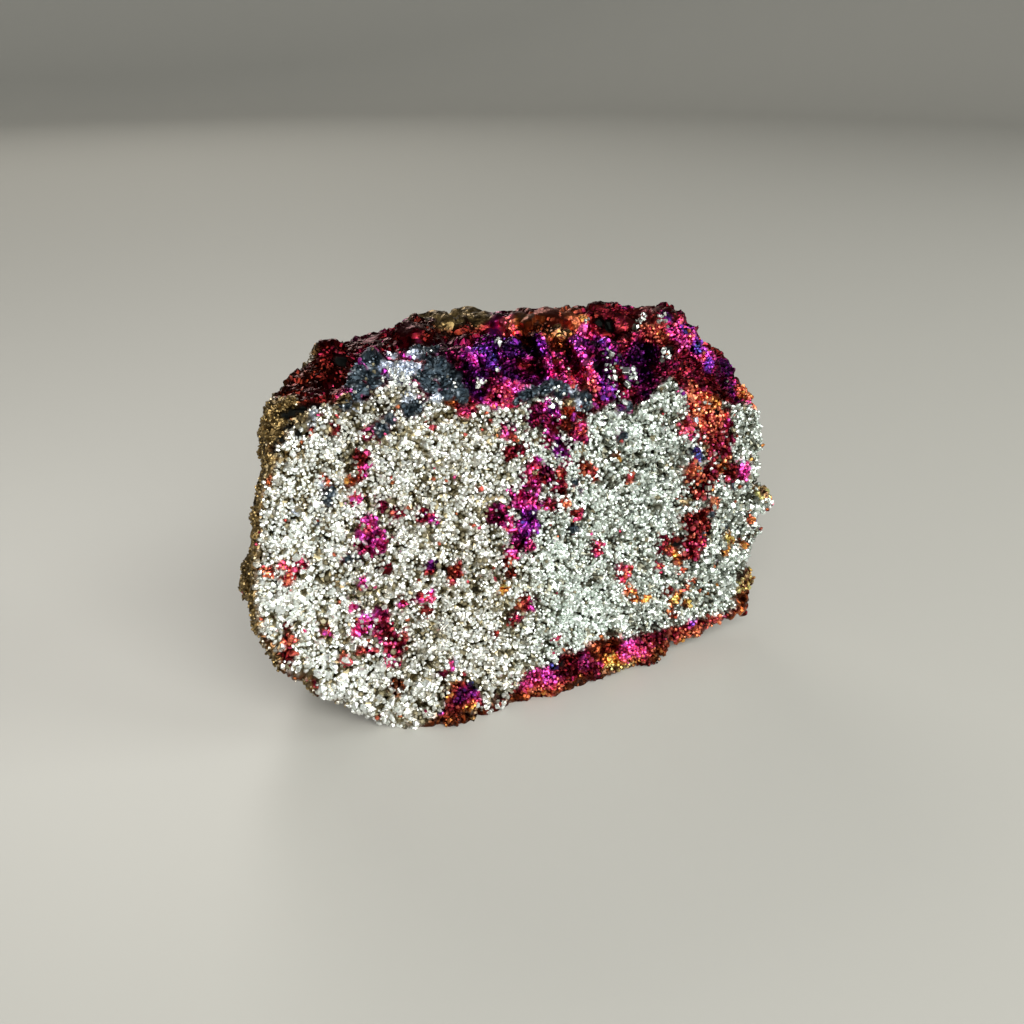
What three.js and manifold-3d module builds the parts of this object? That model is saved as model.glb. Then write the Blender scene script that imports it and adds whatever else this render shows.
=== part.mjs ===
// A lump of peacock ore: one piece of massive copper ore, broken on every side.
// The broad side is a nearly flat sheet of small metallic crystals. Above it a shoulder of
// tarnished ore climbs in broken ridges to the crest, and the back and ends are rough breaks
// in flat chips. It rests on a flat break underneath.
//
// Millimetres, +Z up. +X runs along the broad side, which faces -Y, and +Y goes through the
// lump to its back. The origin is on the resting face, under the middle of the lump.

import * as THREE from 'three';
import { ConvexGeometry } from 'three/addons/geometries/ConvexGeometry.js';
import { ImprovedNoise } from 'three/addons/math/ImprovedNoise.js';
import { mergeVertices } from 'three/addons/utils/BufferGeometryUtils.js';
import Module from 'manifold-3d';

// Overall size of the finished lump.
const length = 51.1;
const depth = 30.2;
const height = 33.0;

// Corners of the block that the lump broke into, before its surface is roughened. Here and
// in the lists below, y is 0 along the foot of the broad side and z is 0 at the foot.
const blockCorners = {
	broadSide: [
		[ - 17.6, 4.4, 29.2 ], [ - 21.3, 3.8, 25.2 ], [ - 23.0, 3.2, 19.8 ],
		[ - 24.2, 2.2, 13.3 ], [ - 23.3, 1.6, 8.8 ], [ - 18.2, 0.4, 3.8 ],
		[ - 13.0, - 0.2, - 0.6 ], [ - 9.0, - 2.2, - 1.2 ], [ - 5.0, - 1.4, - 1.2 ],
		[ 0.0, - 0.3, - 1.2 ], [ 8.2, 0.2, - 0.9 ], [ 18.6, 2.2, 1.0 ], [ 24.6, 3.5, 3.2 ],
		[ 25.8, 4.4, 9.6 ], [ 26.2, 5.1, 14.6 ], [ 25.5, 6.0, 21.3 ], [ 21.6, 6.0, 25.6 ],
		[ 11.8, 4.6, 27.3 ], [ 3.9, 3.9, 27.5 ], [ - 4.0, 4.1, 28.5 ], [ - 10.0, 4.6, 29.8 ],
		[ 2.0, 1.0, 14.0 ],
	],
	shoulder: [
		[ - 14.5, 7.6, 30.0 ], [ - 8.8, 7.9, 31.3 ], [ - 4.3, 8.4, 31.6 ], [ 2.8, 8.4, 31.4 ],
		[ 9.4, 8.3, 31.1 ], [ 15.2, 8.2, 30.7 ], [ 19.4, 7.9, 28.6 ],
	],
	crest: [
		[ - 18.2, 10.0, 28.8 ], [ - 14.4, 12.4, 32.4 ], [ - 7.0, 13.6, 31.8 ],
		[ 1.8, 13.5, 32.0 ], [ 9.1, 13.5, 32.3 ], [ 17.2, 12.3, 32.0 ],
		[ 19.0, 11.3, 31.4 ], [ 22.2, 9.9, 27.8 ], [ 24.4, 8.6, 26.1 ], [ 25.8, 7.3, 23.8 ],
	],
	leftEnd: [
		[ - 21.0, 7.6, 27.8 ], [ - 19.2, 15.0, 25.6 ], [ - 23.5, 5.6, 15.0 ],
		[ - 24.4, 6.0, 11.0 ], [ - 20.0, 17.0, 14.0 ], [ - 18.0, 17.0, 3.4 ],
	],
	back: [
		[ - 9.0, 22.5, 28.4 ], [ 1.0, 23.5, 30.0 ], [ 12.0, 20.5, 29.6 ],
		[ 20.5, 18.0, 24.0 ], [ 22.5, 19.0, 12.0 ], [ 17.0, 22.0, 3.4 ],
		[ 6.0, 25.5, 1.8 ], [ - 8.0, 24.5, 1.4 ], [ - 6.0, 27.6, 14.0 ], [ 9.0, 27.6, 15.0 ],
	],
	foot: [
		[ 16.0, 17.0, - 1.2 ], [ 5.0, 21.5, - 1.2 ], [ - 7.0, 20.5, - 1.2 ], [ - 15.0, 12.0, - 1.2 ],
	],
};

// Hollows and grooves. Each follows a line of points; width is its half-width and rise how
// far the surface stands above the block there.
const hollows = [
	{ line: [ [ 5.2, 4.2, 26.4 ], [ 3.3, 3.3, 23.8 ], [ 1.9, 2.6, 20.8 ] ], width: 2.3, rise: - 0.8 },
	{ line: [ [ 1.9, 2.6, 20.8 ], [ 0.4, 2.1, 18.8 ], [ - 1.0, 1.1, 14.2 ] ], width: 1.9, rise: - 0.7 },
	{ line: [ [ - 2.1, 1.8, 17.5 ] ], width: 2.0, rise: - 1.0 },
	{ line: [ [ - 13.6, 1.8, 16.9 ], [ - 12.4, 2.3, 19.2 ] ], width: 2.0, rise: - 0.5 },
	{ line: [ [ - 13.2, 0.4, 9.2 ] ], width: 2.3, rise: - 0.5 },
	{ line: [ [ 18.4, 5.3, 24.2 ], [ 20.1, 4.6, 19.7 ] ], width: 2.3, rise: - 0.8 },
	{ line: [ [ 17.6, 4.0, 16.4 ], [ 15.4, 2.7, 11.1 ] ], width: 2.1, rise: - 0.9 },
	{ line: [ [ - 15.6, 9.0, 29.9 ] ], width: 4.0, rise: - 1.7 },
	{ line: [ [ 1.0, 11.2, 32.0 ], [ 1.4, 7.0, 30.8 ], [ 2.2, 5.3, 28.6 ] ], width: 1.8, rise: - 1.3 },
	{ line: [ [ 5.4, 8.0, 31.0 ], [ 5.8, 5.0, 28.2 ] ], width: 1.5, rise: - 0.9 },
	{ line: [ [ 12.9, 7.4, 30.2 ], [ 12.1, 4.6, 27.2 ] ], width: 1.7, rise: - 1.0 },
	{ line: [ [ 9.4, 10.4, 31.6 ], [ 11.6, 9.6, 31.2 ] ], width: 2.1, rise: - 1.9 },
	{ line: [ [ 10.0, 5.2, 27.8 ] ], width: 1.6, rise: - 0.7 },
	{ line: [ [ 22.4, 7.5, 25.6 ] ], width: 2.6, rise: - 1.1 },
	{ line: [ [ - 18.2, 4.3, 28.4 ], [ - 20.2, 4.6, 26.6 ] ], width: 1.6, rise: - 0.8 },
	{ line: [ [ 1.3, - 0.6, 1.2 ], [ 8.3, 0.2, 1.2 ], [ 17.2, 2.1, 2.2 ] ], width: 2.2, rise: - 0.6 },
	{ line: [ [ - 12.0, 20.0, 27.0 ], [ - 13.5, 22.0, 18.0 ] ], width: 3.6, rise: - 1.6 },
	{ line: [ [ 13.0, 23.5, 24.0 ], [ 15.0, 24.0, 13.0 ] ], width: 3.4, rise: - 1.8 },
	{ line: [ [ - 2.0, 27.0, 7.0 ] ], width: 5.0, rise: - 1.5 },
	{ line: [ [ - 22.0, 13.0, 18.0 ] ], width: 3.5, rise: - 1.0 },
	{ line: [ [ 24.5, 12.0, 12.0 ] ], width: 3.6, rise: - 1.2 },
];

// Lumps and ridges, laid out in the same way.
const lumps = [
	{ line: [ [ - 14.2, 12.6, 31.8 ], [ - 6.0, 12.6, 32.0 ] ], width: 2.6, rise: 0.7 },
	{ line: [ [ - 8.0, 6.0, 30.4 ], [ - 5.4, 7.4, 31.0 ] ], width: 2.2, rise: 0.6 },
	{ line: [ [ - 3.1, 6.7, 30.8 ] ], width: 2.4, rise: 0.9 },
	{ line: [ [ - 0.8, 7.8, 31.2 ] ], width: 2.0, rise: 0.7 },
	{ line: [ [ 3.6, 8.4, 31.2 ], [ 4.0, 5.0, 28.2 ] ], width: 1.7, rise: 0.8 },
	{ line: [ [ 7.0, 8.4, 31.0 ], [ 7.3, 4.8, 27.9 ] ], width: 1.8, rise: 0.9 },
	{ line: [ [ 3.4, 11.0, 32.0 ], [ 8.0, 11.4, 32.2 ] ], width: 2.6, rise: 0.5 },
	{ line: [ [ 16.6, 11.2, 32.0 ] ], width: 3.2, rise: 0.4 },
	{ line: [ [ 15.2, 5.4, 27.4 ] ], width: 2.4, rise: 0.7 },
	{ line: [ [ 0.4, 23.4, 30.0 ] ], width: 4.0, rise: 0.7 },
	{ line: [ [ 25.6, 4.7, 5.4 ] ], width: 2.2, rise: 0.7 },
	{ line: [ [ - 16.0, 24.0, 8.0 ] ], width: 4.0, rise: 1.2 },
	{ line: [ [ 6.0, 28.0, 18.0 ], [ - 2.0, 28.0, 20.0 ] ], width: 4.0, rise: 1.1 },
	{ line: [ [ 20.0, 20.0, 18.0 ] ], width: 3.4, rise: 1.0 },
];

const columns = 31; // squares of the surface along the lump
const courses = 14; // squares through it
const rows = 19; // squares up it
const heart = new THREE.Vector3( 1, 13, 15.5 ); // the surface is laid out around this point
const rimDepth = 18; // the surface turns from the broad side to the ends half of this in front of the heart
const chipCount = 210; // flat chips that the back, the ends and the shoulder broke into

const grain = new ImprovedNoise();

// The same run of chances every time.
let chanceState = 4127;

function chance( low = 0, high = 1 ) {

	chanceState = ( chanceState * 1103515245 + 12345 ) % 2147483648;
	return low + ( high - low ) * chanceState / 2147483648;

}

function anyDirection() {

	return new THREE.Vector3().setFromSphericalCoords( 1, Math.acos( chance( - 1, 1 ) ), chance( 0, 2 * Math.PI ) );

}

function blockPlanes() {

	const corners = Object.values( blockCorners ).flat().map( ( corner ) => new THREE.Vector3( ...corner ) );
	const hull = new ConvexGeometry( corners ).getAttribute( 'position' );
	const planes = [];
	for ( let i = 0; i < hull.count; i += 3 ) {

		const [ a, b, c ] = [ i, i + 1, i + 2 ].map( ( k ) => new THREE.Vector3().fromBufferAttribute( hull, k ) );
		planes.push( new THREE.Plane().setFromCoplanarPoints( a, b, c ) );

	}

	return planes;

}

const planes = blockPlanes();

// Where a line from the heart leaves the block.
function blockPoint( direction ) {

	let reach = Infinity;
	for ( const plane of planes ) {

		const along = plane.normal.dot( direction );
		if ( along > 0 ) reach = Math.min( reach, - plane.distanceToPoint( heart ) / along );

	}

	return direction.clone().multiplyScalar( reach ).add( heart );

}

function bare( geometry ) {

	geometry.deleteAttribute( 'normal' );
	geometry.deleteAttribute( 'uv' );
	return mergeVertices( geometry );

}

function moveVertices( surface, place ) {

	const position = surface.getAttribute( 'position' );
	const point = new THREE.Vector3();
	for ( let i = 0; i < position.count; i ++ ) {

		position.setXYZ( i, ...place( point.fromBufferAttribute( position, i ), i ) );

	}

}

// Moves every vertex to the middle of its neighbours.
function relax( surface ) {

	const position = surface.getAttribute( 'position' );
	const sums = Array.from( { length: position.count }, () => new THREE.Vector3() );
	const counts = new Array( position.count ).fill( 0 );
	const corner = new THREE.Vector3();
	const index = surface.index.array;
	for ( let t = 0; t < index.length; t += 3 ) {

		for ( let k = 0; k < 3; k ++ ) {

			const from = index[ t + k ];
			const to = index[ t + ( k + 1 ) % 3 ];
			sums[ from ].add( corner.fromBufferAttribute( position, to ) );
			counts[ from ] ++;

		}

	}

	moveVertices( surface, ( p, i ) => sums[ i ].divideScalar( counts[ i ] ) );

}

// A box's grid of vertices, drawn out from the heart until it meets the block's faces, evened
// out over them and then shaken, so that no two squares are alike.
function blockSurface() {

	const surface = bare( new THREE.BoxGeometry( length, rimDepth, height, columns, courses, rows ) );
	moveVertices( surface, ( p ) => blockPoint( p ) );
	for ( let pass = 0; pass < 4; pass ++ ) {

		relax( surface );
		moveVertices( surface, ( p ) => blockPoint( p.sub( heart ) ) );

	}

	moveVertices( surface, ( p ) => blockPoint( p.sub( heart ).addScaledVector( anyDirection(), 0.45 ) ) );
	turnDiagonals( surface );
	return surface;

}

// Splits half of the squares, picked at random, along their other diagonal.
function turnDiagonals( surface ) {

	const index = surface.index.array;
	for ( let i = 0; i < index.length; i += 6 ) {

		const [ a, b, d, , c ] = index.slice( i, i + 6 );
		if ( chance() < 0.5 ) index.set( [ a, b, c, a, c, d ], i );

	}

}

function chips() {

	return Array.from( { length: chipCount }, () => ( {
		at: blockPoint( anyDirection() ),
		tilt: anyDirection().multiplyScalar( chance( 0.05, 0.28 ) ),
		rise: chance( - 0.9, 0.1 ),
	} ) );

}

// 0 on the broad side, where the chips hardly show, and 1 everywhere else.
function offBroadSide( normal ) {

	return THREE.MathUtils.smoothstep( normal.y, - 0.86, - 0.6 );

}

function distanceToLine( p, line ) {

	let nearest = Infinity;
	const close = new THREE.Vector3();
	for ( let i = 0; i < line.length; i ++ ) {

		const start = new THREE.Vector3( ...line[ i ] );
		const end = new THREE.Vector3( ...line[ Math.min( i + 1, line.length - 1 ) ] );
		if ( i > 0 && i === line.length - 1 ) break;
		new THREE.Line3( start, end ).closestPointToPoint( p, true, close );
		nearest = Math.min( nearest, close.distanceTo( p ) );

	}

	return nearest;

}

function shapedRise( p ) {

	let rise = 0;
	for ( const shape of [ ...hollows, ...lumps ] ) {

		const share = 1 - distanceToLine( p, shape.line ) / shape.width;
		if ( share > 0 ) rise += shape.rise * THREE.MathUtils.smoothstep( share, 0, 0.8 );

	}

	return rise;

}

function chipRise( p, chipList ) {

	let nearest = chipList[ 0 ];
	for ( const chip of chipList ) {

		if ( chip.at.distanceToSquared( p ) < nearest.at.distanceToSquared( p ) ) nearest = chip;

	}

	const rise = nearest.rise + nearest.tilt.dot( p.clone().sub( nearest.at ) );
	return THREE.MathUtils.clamp( rise, - 1.5, 0.25 );

}

function roughen( surface ) {

	surface.computeVertexNormals();
	const normals = surface.getAttribute( 'normal' );
	const chipList = chips();
	const normal = new THREE.Vector3();
	moveVertices( surface, ( p, i ) => {

		normal.fromBufferAttribute( normals, i );
		const fine = grain.noise( p.x / 2.4, p.y / 2.4, p.z / 2.4 );
		const broad = grain.noise( p.x / 7, p.y / 7, p.z / 7 );
		const chipped = offBroadSide( normal );
		const rise = shapedRise( p ) + ( 0.1 + 0.9 * chipped ) * chipRise( p, chipList )
			+ 0.3 * fine + ( 0.15 + 0.2 * chipped ) * broad + chance( - 0.35, 0.05 );
		return p.addScaledVector( normal, rise );

	} );
	surface.deleteAttribute( 'normal' );
	return surface;

}

const wasm = await Module();
wasm.setup();

function solid( geometry ) {

	return new wasm.Manifold( new wasm.Mesh( {
		numProp: 3,
		vertProperties: new Float32Array( geometry.getAttribute( 'position' ).array ),
		triVerts: new Uint32Array( geometry.index.array ),
	} ) );

}

function geometryOf( body ) {

	const mesh = body.getMesh();
	const geometry = new THREE.BufferGeometry();
	geometry.setAttribute( 'position', new THREE.BufferAttribute( mesh.vertProperties, 3 ) );
	geometry.setIndex( new THREE.BufferAttribute( mesh.triVerts, 1 ) );
	return geometry;

}

// A block or crystal of the given half-sizes, turned at will.
function crystal( kind, at, half, turn ) {

	const shape = bare( kind );
	shape.scale( ...half );
	shape.applyMatrix4( new THREE.Matrix4().makeRotationFromEuler( new THREE.Euler( ...turn ) ) );
	shape.translate( ...at );
	return solid( shape );

}

const cube = () => new THREE.BoxGeometry( 1.7, 1.7, 1.7 );
const bead = () => new THREE.IcosahedronGeometry( 1.1 );
const diamond = () => new THREE.OctahedronGeometry( 1.3 );

// A shard with no regular shape: the hull of a few points thrown on a ball.
function shard() {

	const tips = Array.from( { length: 10 }, () => anyDirection().multiplyScalar( chance( 0.9, 1.25 ) ) );
	return new ConvexGeometry( tips );

}

// Larger blocks and beads that stand out of the surface.
const standingBlocks = [
	[ shard, [ - 11.6, 7.4, 29.4 ], [ 2.1, 1.7, 1.9 ], [ 0.45, 0.35, - 0.5 ] ],
	[ shard, [ - 9.2, 6.6, 29.7 ], [ 1.5, 1.3, 1.4 ], [ 0.7, 0.1, 0.6 ] ],
	[ shard, [ - 6.4, 6.8, 30.3 ], [ 1.5, 1.2, 1.1 ], [ 0.2, 0.6, 0.1 ] ],
	[ shard, [ - 3.2, 6.4, 30.6 ], [ 1.3, 1.0, 1.2 ], [ 0.3, 0.5, 0.2 ] ],
	[ shard, [ - 0.6, 8.0, 31.2 ], [ 1.2, 1.1, 1.0 ], [ 0.1, 0.4, 0.8 ] ],
	[ shard, [ 3.9, 6.5, 29.4 ], [ 0.9, 0.9, 2.2 ], [ - 0.85, 0.1, 0.1 ] ],
	[ shard, [ 7.3, 6.5, 29.3 ], [ 0.9, 0.9, 2.2 ], [ - 0.85, - 0.1, 0.2 ] ],
	[ bead, [ 16.4, 11.2, 31.0 ], [ 2.3, 2.0, 1.2 ], [ 0.2, 0.1, 0.4 ] ],
	[ bead, [ 25.6, 5.6, 14.4 ], [ 0.8, 0.8, 0.9 ], [ 0.1, 0.3, 0.2 ] ],
	[ bead, [ 24.0, 4.6, 2.1 ], [ 0.85, 0.85, 0.85 ], [ 0.4, 0.2, 0.1 ] ],
	[ bead, [ 23.5, 4.4, 3.1 ], [ 0.75, 0.75, 0.75 ], [ 0.1, 0.5, 0.3 ] ],
	[ shard, [ 24.9, 5.0, 5.0 ], [ 1.1, 1.0, 1.2 ], [ 0.3, 0.2, 0.5 ] ],
	[ shard, [ 13.5, 19.6, 27.2 ], [ 2.4, 1.8, 1.7 ], [ 0.3, 0.5, 0.4 ] ],
	[ shard, [ - 13.0, 21.6, 21.6 ], [ 1.9, 1.9, 2.2 ], [ 0.5, 0.2, 0.7 ] ],
	[ shard, [ 2.0, 26.8, 12.0 ], [ 2.6, 1.4, 1.8 ], [ 0.3, 0.4, 0.2 ] ],
	[ shard, [ - 20.0, 15.0, 11.0 ], [ 1.6, 1.5, 2.0 ], [ 0.2, 0.6, 0.3 ] ],
	[ shard, [ 21.4, 16.6, 9.0 ], [ 1.6, 1.9, 1.5 ], [ 0.6, 0.3, 0.2 ] ],
];

// Bands of coarse crystals: along each line they stand shoulder to shoulder.
const crystalBands = [
	{ line: [ [ - 17.0, 4.3, 28.6 ], [ - 4.0, 4.1, 28.2 ] ], count: 9, half: 0.6 },
	{ line: [ [ 6.0, 4.2, 27.0 ], [ 11.0, 4.6, 27.2 ] ], count: 4, half: 0.6 },
	{ line: [ [ 13.0, 4.9, 26.8 ], [ 17.6, 5.4, 26.2 ] ], count: 7, half: 0.8 },
	{ line: [ [ 9.4, 6.6, 29.4 ], [ 11.2, 5.2, 28.0 ] ], count: 3, half: 0.55 },
	{ line: [ [ 20.6, 6.0, 25.4 ], [ 25.2, 6.0, 21.4 ] ], count: 6, half: 0.7 },
	{ line: [ [ 25.4, 5.6, 20.0 ], [ 25.6, 4.6, 9.6 ] ], count: 9, half: 0.7 },
	{ line: [ [ 24.6, 4.0, 8.0 ], [ 19.0, 2.6, 3.0 ] ], count: 7, half: 0.7 },
	{ line: [ [ 17.0, 2.2, 2.9 ], [ 2.0, - 0.4, 2.8 ] ], count: 11, half: 0.65 },
	{ line: [ [ 15.0, 2.8, 1.2 ], [ 2.0, 0.4, 0.9 ] ], count: 7, half: 0.65 },
	{ line: [ [ - 4.0, - 1.0, 1.8 ], [ - 9.5, - 1.4, 1.2 ] ], count: 5, half: 0.7 },
	{ line: [ [ - 12.0, 0.0, 2.0 ], [ - 22.6, 1.7, 9.4 ] ], count: 9, half: 0.65 },
	{ line: [ [ - 24.0, 3.0, 12.0 ], [ - 21.8, 4.4, 24.0 ] ], count: 7, half: 0.65 },
];

const looseCrystals = 28; // single coarse crystals scattered over the rest of the surface

// A crystal rooted in the surface nearest to the given point.
function rootedCrystal( surface, point, half ) {

	const position = surface.getAttribute( 'position' );
	const root = new THREE.Vector3();
	const corner = new THREE.Vector3();
	for ( let i = 0; i < position.count; i ++ ) {

		corner.fromBufferAttribute( position, i );
		if ( i === 0 || corner.distanceToSquared( point ) < root.distanceToSquared( point ) ) root.copy( corner );

	}

	root.addScaledVector( heart.clone().sub( root ).normalize(), half * chance( 0.2, 0.6 ) );
	const kind = [ cube, bead, shard, diamond ][ Math.floor( chance( 0, 4 ) ) ];
	const sizes = [ 0, 0, 0 ].map( () => half * chance( 0.75, 1.15 ) );
	const turn = [ 0, 0, 0 ].map( () => chance( 0, Math.PI ) );
	return crystal( kind(), root, sizes, turn );

}

function bandCrystals( surface ) {

	const grown = [];
	for ( const band of crystalBands ) {

		const line = new THREE.Line3( ...band.line.map( ( end ) => new THREE.Vector3( ...end ) ) );
		for ( let i = 0; i < band.count; i ++ ) {

			const point = line.at( ( i + chance() ) / band.count, new THREE.Vector3() );
			grown.push( rootedCrystal( surface, point.addScaledVector( anyDirection(), 0.7 ), band.half ) );

		}

	}

	return grown;

}

function scatteredCrystals( surface ) {

	return Array.from( { length: looseCrystals }, () => (
		rootedCrystal( surface, blockPoint( anyDirection() ), chance( 0.5, 0.95 ) )
	) );

}

// The one connected body, without any shut-in gap between crystals.
function wholeBody( body ) {

	return body.decompose().sort( ( a, b ) => b.volume() - a.volume() )[ 0 ];

}

const surface = roughen( blockSurface() );
const blocks = standingBlocks.map( ( [ kind, ...shape ] ) => crystal( kind(), ...shape ) );
const grown = wasm.Manifold.union( [ solid( surface ), ...blocks, ...bandCrystals( surface ), ...scatteredCrystals( surface ) ] );
const slab = bare( new THREE.BoxGeometry( 3 * length, 3 * depth, height ) );
slab.translate( 0, 0, - height / 2 );
const lump = geometryOf( wholeBody( grown.subtract( solid( slab ) ).simplify( 0.08 ) ) );

// The lump is brought to its overall size and set down on its origin.
lump.computeBoundingBox();
const size = lump.boundingBox.getSize( new THREE.Vector3() );
lump.translate( ...lump.boundingBox.getCenter( new THREE.Vector3() ).negate() );
lump.translate( 0, 0, size.z / 2 );
lump.scale( length / size.x, depth / size.y, height / size.z );
const facets = lump.toNonIndexed();
facets.computeVertexNormals();

const ore = new THREE.MeshStandardMaterial( { color: 0x8a8478, roughness: 0.35, metalness: 0.9 } );
const mesh = new THREE.Mesh( facets, ore );
mesh.name = 'peacock_ore';

const part = new THREE.Group();
part.add( mesh );

export default part;
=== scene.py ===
import math

import bmesh
import bpy
import numpy as np
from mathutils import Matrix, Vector, kdtree, noise


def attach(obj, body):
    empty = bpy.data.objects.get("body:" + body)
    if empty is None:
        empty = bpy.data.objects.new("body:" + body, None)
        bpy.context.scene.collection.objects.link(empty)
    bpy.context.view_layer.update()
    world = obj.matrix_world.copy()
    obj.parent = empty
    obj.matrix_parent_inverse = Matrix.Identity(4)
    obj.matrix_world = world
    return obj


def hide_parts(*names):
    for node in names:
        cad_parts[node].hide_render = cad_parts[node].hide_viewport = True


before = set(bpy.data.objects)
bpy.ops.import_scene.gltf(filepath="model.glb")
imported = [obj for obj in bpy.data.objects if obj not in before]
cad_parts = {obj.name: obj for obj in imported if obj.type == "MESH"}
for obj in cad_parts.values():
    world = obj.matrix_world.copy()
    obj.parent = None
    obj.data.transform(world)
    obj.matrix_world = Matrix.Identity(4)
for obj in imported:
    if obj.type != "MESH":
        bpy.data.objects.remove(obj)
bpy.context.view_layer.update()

# A lump of peacock ore. Everything is worked out in millimetres, in the frame's own axes:
# x runs along the broad silvery side, which faces -y, and z is up.
mm = 0.001
chance = np.random.default_rng(4127)
faceLean = math.radians(8)
outOfFace = np.array((0, -math.cos(faceLean), math.sin(faceLean)))


def eased(value, low, high):
    t = np.clip((value - low) / (high - low), 0, 1)
    return t * t * (3 - 2 * t)


def cloud(points, size, seed):
    # smooth noise of about -1 to 1, with lumps of the given size
    places = points / size + seed
    return np.array([noise.noise(Vector(p)) for p in places]) * 1.6


def warped(points, size, amount, seed):
    moved = points.copy()
    for axis in range(3):
        moved[:, axis] += amount * cloud(points, size, seed + 17.3 * axis)
    return moved


def nearestTwo(points, centres):
    # the nearest centre of each point, how far off it is, and how much further the next one is
    tree = kdtree.KDTree(len(centres))
    for i, centre in enumerate(centres):
        tree.insert(centre, i)
    tree.balance()
    pairs = [tree.find_n(point, 2) for point in points]
    mine = np.array([pair[0][1] for pair in pairs])
    apart = np.array([(pair[0][2], pair[1][2] - pair[0][2]) for pair in pairs])
    return mine, apart[:, 0], apart[:, 1]


# Where the silvery crust ends, as x and z along the top and the foot of the broad side.
crust = {
    "top": [(-26, 22.5), (-22.2, 25.3), (-20.1, 26.9), (-18.5, 27.8), (-17.6, 28.7), (-16.1, 28.8),
            (-14.2, 28.5), (-12.8, 29.6), (-11.1, 30.0), (-9.8, 28.9), (-8.7, 27.9), (-7.1, 27.6),
            (-6, 26.9), (-4.3, 27), (-1.4, 26.6), (0.4, 27.1), (1.6, 27.4), (3.4, 26.2), (6.2, 25.2),
            (7.9, 25.5), (9.5, 24.6), (11.2, 25.6), (12.4, 27.5), (13.5, 27.2), (15.7, 25.0), (18, 24.4),
            (20.5, 23.6), (22.9, 23), (26, 21)],
    "foot": [(-26, 3), (-18, -2), (-14.6, -2), (-12.3, 0.1), (-10.2, 1.0), (-9.4, 3.2), (-8, 3.9),
             (-6.7, 3.0), (-5.9, 1.0), (-3.2, 0.8), (-2.3, 1.9), (-1.2, 2.7), (1.9, 3.4), (5.1, 3.9),
             (9.2, 3.2), (11.7, 3.3), (14.3, 3.5), (17.7, 3.2), (19.8, 3.0), (20.8, 4.2), (21.5, 5.8),
             (22.9, 7.4), (26, 8.4)],
    "topFade": (-0.25, 0.35),  # over what height it thins out at the top
    "footFade": (-0.3, 0.4),
    "backFade": (3.0, 4.5),  # how far forward it begins
    "facing": (0.50, 0.74),  # how squarely the ore has to face the broad side's way
    "rightWrap": 0.34,  # how much further round it goes at the right end
    "leftWrap": 0.46,
}

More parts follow.
